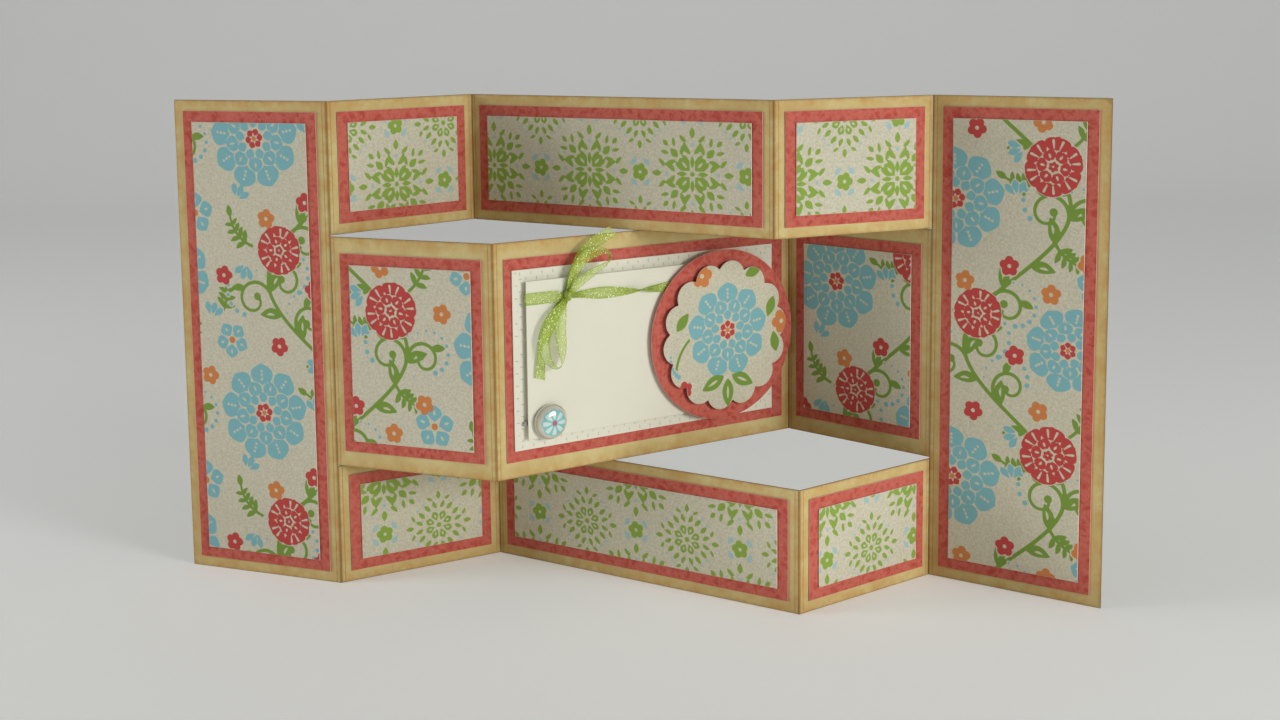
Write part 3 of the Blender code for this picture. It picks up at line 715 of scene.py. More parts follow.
def garden(points):
    """The flowered print: blossoms, roses, stars, curls and fronds on a winding vine, every 62 x 80 mm."""
    size = (62.0, 80.0)
    aqua, red, green, orange, clear = [], [], [], [], []
    for centre, radius, count, turn in (((16, 21), 14.5, 9, 12), ((49, 61), 12.0, 8, 30)):
        local = around(points, centre, 0, size)
        ring, eye, middle = blossom(local, radius, count, turn)
        aqua.append(ring)
        red.append(eye)
        orange.append(middle)
        clear.append(disc(local, 0.93 * radius))
    for centre, radius, count, turn in (((44, 31), 8.2, 6, 20), ((23, 69), 7.0, 5, 0)):
        local = around(points, centre, 0, size)
        red.append(rose(local, radius, count, turn))
        clear.append(disc(local, radius - 0.2))
    for centre, radius, turn in (((57, 79), 6.2, 18), ((6, 42), 5.4, 50)):
        local = around(points, centre, 0, size)
        aqua.append(star(local, radius, turn))
        orange.append(disc(local, 1.0))
    for centre, inks, turn in (((4, 61), red, 5), ((41, 43), orange, 40), ((32, 3), red, 20),
                               ((60, 31), orange, 0), ((22, 41), red, 60), ((44, 76), orange, 15),
                               ((34, 58), red, 30), ((54, 5), orange, 50), ((19, 78), orange, 10)):
        inks.append(small_flower(around(points, centre, 0, size), 2.9, turn))
    local = around(points, (31, 40), 0, size)
    rise = np.linspace(-46, 46, 60)
    vine = np.stack([3 + 15 * np.sin(2 * math.pi * (rise + 40) / 80), rise], axis=1)
    green.append(line(local, vine, (1.1, 1.1)))
    for step in range(12):
        share = (step + 0.5) / 12
        place = (34 + 15 * math.sin(2 * math.pi * share), 80 * share)
        lean = math.degrees(math.atan2(80, 15 * 2 * math.pi * math.cos(2 * math.pi * share)))
        side = 1 if step % 2 else -1
        blade = around(points, place, lean + 50 * side, size)
        green.append(cut(leaf(blade, 0.3, 7.2, 3.3, 0.85, 0.9, -0.5 * side),
                         leaf(blade, 2.4, 3.2, 0.75, 1.0, 1.0, -0.3 * side)))
    for start, heading, radius, sweep in (((47.9, 15), 70, 6.2, 410), ((48.9, 18), 76, 5.4, -400),
                                          ((20.1, 55), 110, 6.2, 400), ((19.2, 58), 96, 6.0, -410),
                                          ((29.8, 44), 136, 5.6, -400), ((27, 74), 46, 5.4, -380)):
        path = curl((0, 0), heading, radius, sweep, 0.25, 30)
        tendril = around(points, start, 0, size)
        green.append(line(tendril, path, (1.1, 0.75)))
        green.append(disc(tendril, 1.15, path[-1]))
        aim = heading + sweep * 0.3 - math.copysign(45, sweep)
        spur = around(points, np.array(start) + path[9], aim, size)
        green.append(leaf(spur, 0.2, 4.4, 2.2, 0.85, 0.9))
        outer = curl((0, 0), heading - math.copysign(12, sweep), radius * 1.42, sweep * 0.6, 0.8, 11)
        aqua.extend(disc(tendril, 0.34 + 0.05 * place, spot) for place, spot in enumerate(outer[3:]))
    for start, heading, reach, bend in (((50, 37), 40, 14, 50), ((39, 26), 190, 9, -40),
                                        ((14, 70), 160, 12, -60), ((45, 10), 300, 11, 50),
                                        ((3, 50), 60, 9, 40)):
        green.append(frond(points, start, heading, reach, size, bend, 4 if reach > 10 else 3))
    for centre, turn in (((34, 22), 100), ((61, 48), 70), ((36, 36), 200), ((12, 65), 250), ((9, 3), 60)):
        for lean in (-34, 0, 34):
            aqua.append(leaf(around(points, centre, turn + lean, size), 1.0, 4.2, 1.9, 1.6, 0.8))
    blooms = union(*clear)
    halo = union(*aqua, *red, *orange) - 0.35
    return {"flower_inks": np.stack([union(*red), cut(union(*green), blooms, halo), union(*aqua)], axis=1),
            "small_inks": np.stack([union(*orange)] * 3, axis=1)}


def medallions(points):
    """The medallion print: lacy medallions every 34 mm, and between them small ones, flowers and drops."""
    size = (34.0, 34.0)
    large, small = around(points, (0, 0), 0, size), around(points, (17, 17), 0, size)
    axis, slope, near = (mirrored(spun(*fold)) for fold in ((large, 4, 0), (large, 4, 45), (small, 4, 0)))
    shapes = [cut(petals(large, 4, 45, 1.2, 5.9, 0.52, 1.3), veins(large, 4, 45, 2.4, 4.9, 0.8)),
              disc(large, 0.7), leaf(axis, 1.7, 3.5, 1.3, 0.9), leaf(axis, 10.0, 3.2, 1.7, 0.85),
              leaf(slope, 6.6, 3.4, 2.1, 0.85), leaf(slope, 11.0, 2.4, 1.4, 0.9)]
    for folded, start, aim, reach, width, bend in (
            (axis, (5.6, 0.55), 32, 4.2, 1.5, 0.5), (axis, (9.0, 1.9), 48, 3.0, 1.2, 0.2),
            (axis, (4.2, 1.5), 62, 2.4, 0.9, 0.0), (slope, (6.4, 1.1), 56, 2.9, 1.2, 0.2),
            (slope, (9.4, 1.3), 34, 2.8, 1.1, 0.0), (near, (5.1, 0.6), 26, 2.6, 1.2, 0.2),
            (near, (4.4, 2.6), 44, 2.8, 1.3, 0.0), (near, (7.6, 1.9), 62, 2.2, 0.9, 0.0)):
        shapes.append(leaf(around(folded, start, aim), 0.0, reach, width, 0.85, 0.85, bend))
    shapes.append(cut(petals(small, 8, 22.5, 1.3, 4.4, 0.78, 1.5), veins(small, 8, 22.5, 2.3, 3.7, 0.6)))
    shapes += [disc(small, 0.75), leaf(near, 7.9, 2.6, 1.4, 0.85)]
    for centre, turn in (((17, 0), 0), ((0, 17), 30)):
        shapes.append(small_flower(around(points, centre, 0, size), 2.6, turn))
    blue = [disc(axis, 0.55, (8.3, 0.0)), disc(near, 0.5, (6.6, 4.9))]
    for centre, turn in (((17, 4.6), -90), ((17, 29.4), 90), ((4.6, 17), 180), ((29.4, 17), 0)):
        for lean in (-52, 52):
            blue.append(leaf(around(points, centre, turn + lean, size), 0.8, 3.2, 1.5, 1.6, 0.8))
    blue = cut(union(*blue), union(*shapes) - 0.3)
    return {"medallion_inks": np.stack([union(*shapes), blue, blue], axis=1)}


def tag_print(points):
    """The tag's print: a blossom on three leaves, with sprigs and small flowers cut off by the tag's edge."""
    ring, eye, middle = blossom(around(points, (0.5, 1.5)), 14.2, 9, 90)
    green = [cut(leaf(around(points, (0.5, -11.5), turn), 1.6, 8.6, 4.0, 0.9, 0.9),
                 leaf(around(points, (0.5, -11.5), turn), 3.6, 4.4, 0.8)) for turn in (205, 335, 270)]
    green.append(line(points, curl((-18.0, -10.0), 85, 16.0, -75, 0.7), (0.9, 0.7)))
    for start, turn in (((-17.6, 3.0), 50), ((7.0, 17.2), 20), ((17.4, 10.0), 250), ((18.4, -7.0), 100)):
        green.append(leaf(around(points, start, turn), 0.0, 6.5, 3.2, 0.9, 0.9))
    orange = [small_flower(around(points, centre), 3.6, turn)
              for centre, turn in (((-8.6, 18.4), 10), ((20.4, 2.0), 40))]
    red = [eye, small_flower(around(points, (-14.8, -14.6)), 2.6, 30)]
    aqua = [ring, *[disc(points, 0.4 + 0.05 * n, spot)
                    for n, spot in enumerate(curl((-19.5, -3.0), 260, 9.0, 60, 0.8, 7)[1:])]]
    clear = union(disc(points, 13.6, (0.5, 1.5)), union(*orange, *red, *aqua[1:]) - 0.35)
    return {"flower_inks": np.stack([union(*red), cut(union(*green), clear), union(*aqua)], axis=1),
            "small_inks": np.stack([union(*orange, middle)] * 3, axis=1)}


# Materials

def card_paint(look):
    """Cream card: ink rubbed on edges and creases, a scored line beside each crease, dark cut edges."""
    paint = Paint("inked_card", {"Roughness": 0.82, "Specular IOR Level": 0.25})
    edge, crease = paint.mark("edge"), paint.mark("crease")
    cloud, blot, grain = paint.noise(12.0), paint.noise(3.6, 5.0, 0.65), paint.noise(0.28, 2.0)
    streak = paint.noise(0.9, 3.0, 0.6, drawn=True)
    base = paint.mix(cloud.fade(0.3, 0.7), look.card, ink(222, 208, 148))
    base = paint.shade(base, 0.9 + grain * 0.12 + streak * 0.08)
    near = edge.least(crease)
    rubbed = near.fade(5.0, 0.0) * (blot * 1.7 - 0.35).fade(0.0, 1.0)
    shown = paint.mix(rubbed * 0.85, base, look.inked)
    score = abs(crease - 1.25 + (blot - 0.5) * 0.2).fade(0.24, 0.05) * (0.25 + streak * 0.5)
    fold = crease.fade(0.5, 0.08) * 0.8
    burnt = (near.fade(0.8, 0.0) * (streak * 0.9)).most(score).most(fold) * 0.75
    shown = paint.mix(burnt, shown, look.burnt)
    rim = (edge + (blot - 0.5) * 0.16).fade(0.17, 0.04)
    shown = paint.mix(rim * 0.9, shown, look.dark_edge)
    height = grain * 0.5 + streak * 0.5 - score * 0.8 - fold * 0.6
    return paint.finish(Base_Color=shown, Normal=paint.bump(height, 0.00006, 0.8))


def mat_paint(look):
    """Red card with a faint lighter scroll print, a fine tooth and a pale core at its cut edge."""
    paint = Paint("red_mat", {"Roughness": 0.78, "Specular IOR Level": 0.25})
    warp = paint.node("ShaderNodeTexNoise", values={"Vector": paint.place, "Scale": 260.0}, output="Color")
    bent = paint.node("ShaderNodeMix", {"data_type": "VECTOR"}, {0: 0.006, 4: paint.place, 5: warp}, output=1)
    scroll = paint.cells("DISTANCE_TO_EDGE", 330.0, bent).fade(0.34, 0.04)
    grain, mottle, cloud = paint.noise(0.32, 3.0, 0.7), paint.noise(1.3, 4.0, 0.7), paint.noise(9.0)
    share = scroll * 0.4 + (mottle - 0.5) * 1.3 + (grain - 0.5) * 0.8 + cloud * 0.3
    base = paint.shade(paint.mix(share.fade(-0.2, 0.9), look.mat, look.mat_light), 0.9 + grain * 0.2)
    core = (paint.mark("edge") + (paint.noise(0.5) - 0.5) * 0.08).fade(0.11, 0.03)
    shown = paint.mix(core * 0.8, base, look.mat_core)
    return paint.finish(Base_Color=shown, Normal=paint.bump(grain + scroll * 0.2, 0.00004, 0.7))


def paper_ground(paint, look):
    """Parchment colour with sandy grain, soft blotches and a white cut edge; also the grain for its bump."""
    grain, fine, cloud = paint.noise(0.6, 3.0, 0.7), paint.noise(0.24, 1.0), paint.noise(14.0)
    ground = paint.mix(grain.fade(0.3, 0.7) * 0.66 + cloud * 0.12, look.parchment, look.speck)
    return paint.shade(ground, 0.9 + fine * 0.2), grain, fine


INK_COVER = 0.94  # Share of the ground that ink hides


def inked_on(paint, ground, distance, shade, grain):
    """Ink laid where the stored distance is negative, its edge roughened by the paper's grain."""
    mask = (distance + (grain - 0.5) * 0.16).fade(0.07, -0.07) * INK_COVER
    return paint.mix(mask, ground, paint.shade(shade, 0.86 + grain * 0.28))


def print_paint(name, look, layers):
    """Parchment paper printed on its front only, with each ink's colour, mark and part of that mark."""
    paint = Paint(name, {"Roughness": 0.8, "Specular IOR Level": 0.22})
    shown, grain, fine = paper_ground(paint, look)
    front = paint.parts(paint.mark("spot", "Vector"))[2].fade(-0.01, 0.01)
    plain = shown
    for mark, part, shade in layers:
        distance = paint.parts(paint.mark(mark, "Vector"))[part]
        shown = inked_on(paint, shown, distance, shade, grain)
    shown = paint.mix(front, plain, shown)
    shown = paint.mix(paint.mark("edge").fade(0.1, 0.03), shown, ink(236, 232, 216))
    return paint.finish(Base_Color=shown, Normal=paint.bump(grain * 0.6 + fine * 0.4, 0.00004, 0.8))


def white_paint(look, embossed):
    """White card; on the embossed one, shade is painted into the pressed border's dashes and line."""
    name = "embossed_card" if embossed else "white_card"
    paint = Paint(name, {"Roughness": 0.75, "Specular IOR Level": 0.25})
    grain, cloud = paint.noise(0.3, 2.0), paint.noise(18.0)
    shown = paint.shade(paint.mix(cloud * 0.5, look.white, ink(230, 227, 206)), 0.975 + grain * 0.05)
    if embossed:
        # Painted shade: the pressed dashes and line are mixed towards a grey olive, as their dents look in
        # shade
        press = paint.mark("press") * paint.noise(3.4, 1.0).fade(0.3, 0.45)
        shown = paint.mix(press * 0.5, shown, ink(150, 143, 110))
    core = paint.mark("edge").fade(0.12, 0.03)
    shown = paint.mix(core * 0.5, shown, ink(206, 200, 176))
    return paint.finish(Base_Color=shown, Normal=paint.bump(grain * 0.25, 0.00005, 0.9))


def foam_paint(look):
    """Closed-cell foam: tiny pits between pale walls."""
    paint = Paint("foam", {"Roughness": 0.9})
    cells = paint.cells("F1", 4200.0)
    shown = paint.shade(look.foam, 0.84 + cells.fade(0.75, 0.2) * 0.18)
    return paint.finish(Base_Color=shown, Normal=paint.bump(cells, 0.00008, 0.8))


def ribbon_paint(look):
    """Sheer organza: woven threads along and across, dense selvages, and metallic thread specks whose glints
    are painted highlights.
    """
    paint = Paint("organza", {"Roughness": 0.45, "Sheen Weight": 0.3, "Specular IOR Level": 0.5})
    weave = paint.mark("weave", "Vector")
    run, across, layers = paint.parts(weave)
    threads = run.wave(0.3).fade(0.12, 0.03).most(across.wave(0.3).fade(0.12, 0.03))
    selvage = abs(across).fade(look.width / 2 * MM - 0.42, look.width / 2 * MM - 0.24)
    # Specks of metallic thread: opaque and smoother; their glints are painted as highlights below
    glints = paint.cells("F1", 1.9, weave, Randomness=0.85)
    spot = paint.cells("F1", 1.9, weave, "Position", Randomness=0.85)
    lit = paint.node("ShaderNodeTexWhiteNoise", {"noise_dimensions": "3D"}, {"Vector": spot})
    speck_and_highlight = glints.fade(0.46, 0.3) * lit.fade(0.46, 0.5)
    shown = paint.shade(look.lime, (0.85 + paint.noise(2.5) * 0.3) * (1.0 - layers.least(2.0) * 0.26))
    shown = paint.mix(selvage * 0.75, shown, look.thread)
    # Painted highlight: lit specks are mixed towards the near-white glitter colour, less where the ribbon
    # lies in layers
    shown = paint.mix(speck_and_highlight * (0.95 - layers.least(1.0) * 0.5), shown, look.glitter_highlight)
    alpha = (threads * 0.2 + look.cover + layers * 0.4).most(selvage * 0.5).most(speck_and_highlight * 0.85).least(1.0)
    return paint.finish(Base_Color=shown, Alpha=alpha, Roughness=0.5 - speck_and_highlight * 0.3,
                        Normal=paint.bump(threads + speck_and_highlight, 0.00003, 0.7))


def pearl_paint(look):
    """Pearly enamel: soft drifts of pale colour under a clear coat."""
    paint = Paint("pearl", {"Roughness": 0.28, "Coat Weight": 0.8, "Coat Roughness": 0.08, "Metallic": 0.15})
    drift = paint.noise(2.2, 3.0)
    shown = paint.mix(drift.fade(0.3, 0.7), look.pearl, ink(222, 216, 200))
    return paint.finish(Base_Color=shown, Normal=paint.bump(paint.noise(0.6), 0.00002, 0.4))


def flower_paint(look):
    """The brad's dome: white petals of width |cos| on a blue scalloped disc round a red eye, under enamel."""
    paint = Paint("enamel_flower", {"Roughness": 0.2, "Coat Weight": 1.0, "Coat Roughness": 0.05})
    x, z, _ = paint.parts(paint.mark("spot", "Vector"))
    radius = (x * x + z * z).math("SQRT")
    turn = z.math("ARCTAN2", x)
    swing = abs((turn * (look.petals / 2)).math("COSINE"))
    reach = look.flower * MM
    disc_edge = radius - reach + (1.0 - swing) * 0.35
    shown = paint.mix(disc_edge.fade(0.14, -0.14), look.pearl, look.petal)
    width = (swing - 0.56 - abs(radius - reach * 0.6) * 0.17).fade(-0.08, 0.12)
    white = width * radius.fade(reach * 0.24, reach * 0.32) * radius.fade(reach * 0.94, reach * 0.84)
    shown = paint.mix(white * 0.78, shown, look.top)
    shown = paint.mix(radius.fade(0.86, 0.66), shown, look.eye)
    return paint.finish(Base_Color=shown, Normal=paint.bump(paint.noise(0.8), 0.00001, 0.3))


def metal_paint(look):
    """Plated steel with fine drawn lines."""
    paint = Paint("plated_steel", {"Metallic": 1.0})
    lines = paint.noise(0.5, 3.0, 0.6, drawn=True)
    return paint.finish(Base_Color=paint.shade(look.metal, 0.85 + lines * 0.3), Roughness=0.45 + lines * 0.25)


def floor_paint(look):
    """Pale floor with a barely visible grain, a little lighter where it is seen than where it is lit."""
    paint = Paint("floor", {"Roughness": 0.9, "Specular IOR Level": 0.1, "Emission Strength": 1.0})
    seen = [paint.node("ShaderNodeLightPath", output=f"Is {ray} Ray")
            for ray in ("Camera", "Glossy", "Transmission")]
    glow = seen[0].most(seen[1]).most(seen[2]) * look.glow
    return paint.finish(Base_Color=paint.shade(look.floor, 0.99 + paint.noise(60.0) * 0.02),
                        Emission_Color=paint.shade(look.floor, glow))


# Operators

def looks(context):
    """The property groups of the scene, in the order of GROUPS."""
    return [getattr(context.scene, name) for name in GROUPS]


class AddCard(bpy.types.Operator):
    """Base card: eleven panels; at each crease a half-round nose turns before its neighbour's facing end."""
    bl_idname = "shutter_card.add_card"
    bl_label = "Card"

    def execute(self, context):
        look = looks(context)[0]
        material = card_paint(look)
        for name, panel in panels.items():
            dress(self.panel_sheet(name, panel, look), name, material, name)
        return {"FINISHED"}

    @staticmethod
    def panel_sheet(name, panel, look):
        """Both ends are half round. A nose turns about its crease; the end that faces one stands 2 r / sin(a)
        from it, where r is half the thickness and a the least angle of the fold, so that the two never meet.
        """
        low, high, _, (*_, half) = panel.extent(name)
        creases = 0.0, panel.length
        ends, free = [], []
        for end, (place, crease, outward) in enumerate(zip((low[0], high[0]), creases, (-1, 1))):
            free.append("flap" in name and (end == 0) == ("left" in name))
            short = (crease - place) * outward
            if short > 0 and not free[end]:
                gap = look.pivot_gap if short > PIVOT_CLEARANCE else look.crease_gap
                apart = (2 * half + gap) / math.sin(math.radians(least_angle(name, end)))
                place = crease - (apart - half) * outward
            ends.append(place)
        along = stations(*ends, look.step, half)
        up = stations(low[1], high[1], look.step, look.worn)
        share = np.minimum(worn_share(along, *ends, half)[None, :],
                           worn_share(up, low[1], high[1], look.worn)[:, None])
        across, over = np.meshgrid(along, up)
        points = np.vstack([panel.points(across, over, side * half * share) for side in (1, -1)])
        edge_away = np.minimum(over - low[1], high[1] - over)
        crease_away = np.full_like(over, CREASE_REACH)
        for is_free, place, crease in zip(free, ends, creases):
            if is_free:
                edge_away = np.minimum(edge_away, np.abs(across - place))
            else:
                crease_away = np.minimum(crease_away, np.abs(across - crease))
        marks = {"edge": np.tile(edge_away.ravel() * MM, 2), "crease": np.tile(crease_away.ravel() * MM, 2)}
        return add_piece(name + "_card", points, marks, shell_faces(len(up), len(along)))


class AddMats(bpy.types.Operator):
    """Red mats on every panel."""
    bl_idname = "shutter_card.add_mats"
    bl_label = "Mats"

    def execute(self, context):
        look = looks(context)[0]
        material = mat_paint(look)
        for name, panel in panels.items():
            node = name + "_mat"
            piece = flat_sheet(name + "_red_mat", panel, node, look.step, look)
            dress(piece, name, material, node)
        return {"FINISHED"}


class AddPapers(bpy.types.Operator):
    """Printed papers: medallions on the top and bottom bands, flowers on the flaps and the middle band."""
    bl_idname = "shutter_card.add_papers"
    bl_label = "Papers"

    def execute(self, context):
        look, prints = looks(context)[:2]
        flowered = print_paint("flower_print", prints, flower_layers(prints))
        leafy = print_paint("medallion_print", prints, (("medallion_inks", 0, prints.meadow),
                                                        ("medallion_inks", 1, prints.sky)))
        cuts = {"left_flap": (14, 42), "right_flap": (34, 60), "middle_left": (50, 18),
                "middle_right": (23, 6), "top_left": (3, 6), "top_centre": (8, 2), "top_right": (21, 4),
                "bottom_left": (12, 22), "bottom_centre": (1, 19), "bottom_right": (16, 21)}
        for name, place in cuts.items():
            node = name + "_paper"
            outer = name.startswith(("top", "bottom"))
            design, material = (medallions, leafy) if outer else (garden, flowered)
            piece = flat_sheet(name + "_print", panels[name], node, look.print_step, look,
                               lambda points: design(points + place))
            dress(piece, name, material, node)
        return {"FINISHED"}


def flower_layers(prints):
    return (("flower_inks", 2, prints.aqua), ("flower_inks", 1, prints.green), ("flower_inks", 0, prints.red),
            ("small_inks", 0, prints.orange))


class AddWhiteCards(bpy.types.Operator):
    """The embossed mat and the raised writing panel in front of it."""
    bl_idname = "shutter_card.add_white_cards"
    bl_label = "White cards"

    def execute(self, context):
        look = looks(context)[0]
        for node in ("embossed_mat", "writing_panel"):
            embossed = node == "embossed_mat"
            piece = flat_sheet(node + "_card", centre_panel, node, look.step / 2, look, embossed=embossed)
            dress(piece, "middle_centre", white_paint(look, embossed), node)
        return {"FINISHED"}


class AddPads(bpy.types.Operator):
    """Foam pads behind the writing panel and the tags."""
    bl_idname = "shutter_card.add_pads"
    bl_label = "Foam pads"

    def execute(self, context):
        look = looks(context)[0]
        material = foam_paint(look)
        for node in sorted(name for name in frame["nodes"] if "_pad_" in name):
            low, high, middle, half = centre_panel.extent(node)
            rings, swell = (0.35, 0.7, 0.97), np.linspace(-1, 1, 7)
            front = [(half[0] * share, high[2]) for share in rings]
            side = [(half[0] * (1 - 0.05 * (1 - s * s)), middle[2] - half[2] * s * 0.96) for s in swell]
            back = [(half[0] * share, low[2]) for share in reversed(rings)]
            piece = round_piece(node + "_foam", middle, front + side + back, self.outline, 48)
            dress(piece, "middle_centre", material, node)
        return {"FINISHED"}

    @staticmethod
    def outline(angles):
        """A square with rounded corners: 1 / (|cos|**12 + |sin|**12)**(1/12)."""
        return (np.abs(np.cos(angles)) ** 12 + np.abs(np.sin(angles)) ** 12) ** (-1 / 12)


class AddTag(bpy.types.Operator):
    """The red round tag and the printed scalloped tag on it."""
    bl_idname = "shutter_card.add_tag"
    bl_label = "Tag"

    lobes: whole("Lobes", "Scallops round the tag", 14)
    turn: angle("Turn", "Turn of the first scallop", 6.4)
    tip: length("Tip radius", "Distance of the scallops' tips from the middle", 0.022225)
    cusp: length("Notch radius", "Distance of the notches between scallops from the middle", 0.01985)

    def execute(self, context):
        look, prints = looks(context)[:2]
        low, high, middle, (radius, *_) = centre_panel.extent("round_tag")
        profile = disc_profile(radius, low[2], high[2], look.worn, 14)
        piece = round_piece("round_tag_card", middle, profile, np.ones_like, 180)
        dress(piece, "middle_centre", mat_paint(look), "round_tag")
        low, high, *_ = centre_panel.extent("scalloped_tag")
        profile = disc_profile(1.0, low[2], high[2], look.worn / self.tip, 62)
        piece = round_piece("scalloped_tag_print", middle, profile, self.outline, 420, tag_print)
        dress(piece, "middle_centre", print_paint("tag_print", prints, flower_layers(prints)),
              "scalloped_tag")
        return {"FINISHED"}

    def outline(self, angles):
        """Radius at each angle: where its ray leaves the circle through a lobe's tip and two notches."""
        half_step = math.pi / self.lobes
        chord, at = self.cusp * math.sin(half_step), self.cusp * math.cos(half_step)
        rise = self.tip - at
        lobe = (chord ** 2 + rise ** 2) / (2 * rise)
        centre = self.tip - lobe
        off = (angles - self.turn + half_step) % (2 * half_step) - half_step
        return centre * np.cos(off) + np.sqrt(lobe ** 2 - (centre * np.sin(off)) ** 2)


def ease(share):
    """Smooth step from 0 to 1."""
    share = np.clip(share, 0, 1)
    return share * share * (3 - 2 * share)


def unit(vectors):
    return vectors / np.linalg.norm(vectors, axis=-1, keepdims=True)


KNOT_OVERLAP = 0.0002  # How far inside the knot its strands start
TAIL_CLEARANCE = 0.0002  # How far the tails lie off the card
TWIST_REACH = 0.0125  # How far the band's twist reaches either way
GATHER_REACH = 0.35  # Share of a loop or tail, and twice that of a band, over which the ribbon widens
SWELL_PEAK = 0.6495  # Greatest value of sin 2 pi t sin(pi t)**2


def gathered(look, share):
    """Share of its width that the ribbon has on its way out from the knot, full at share 1."""
    return look.gather + (1 - look.gather) * ease(share)


def strip(name, look, path, across, width, cup, slant=0.0):
    """A ribbon of two parameters, place t along its path and s from -1 to 1 across it.

    It lies at path(t) + across(t) s width(t)/2 + normal(t) (cup (1 - s s) + pleats), half its thickness
    either way. Where it is gathered, cos(3.5 pi s) pleats take up its spare width. Its end is cut aslant.
    """
    across = unit(across)
    ahead = unit(np.gradient(path, axis=0))
    normal = unit(np.cross(across, ahead))
    s = np.linspace(-1, 1, 15)
    spare = np.clip(1 - width / look.width, 0, 1)
    run = np.concatenate([[0], np.cumsum(np.linalg.norm(np.diff(path, axis=0), axis=1))])
    end = ease((run - run[-1] + 0.004) / 0.004)
    bulge = np.broadcast_to(cup, run.shape)[:, None] * (1 - s * s)[None, :]
    pleat = (spare * look.pleat)[:, None] * np.cos(3.5 * math.pi * s)[None, :]
    spread = s[None, :] * width[:, None] / 2
    middle = (path[:, None] + across[:, None] * spread[..., None]
              + normal[:, None] * (bulge + pleat)[..., None]
              + ahead[:, None] * (slant * end[:, None] * s[None, :])[..., None])
    half = normal[:, None] * look.thickness / 2
    front, back = (middle + half).reshape(-1, 3), (middle - half).reshape(-1, 3)
    points = np.vstack([centre_panel.points(*side.T) for side in (front, back)])
    weave = np.stack(np.broadcast_arrays(run[:, None] * MM, s[None, :] * look.width / 2 * MM,
                                         (look.width / width - 1)[:, None]), axis=-1).reshape(-1, 3)
    return add_piece(name, points, {"weave": np.vstack([weave, weave])}, shell_faces(len(run), len(s)))


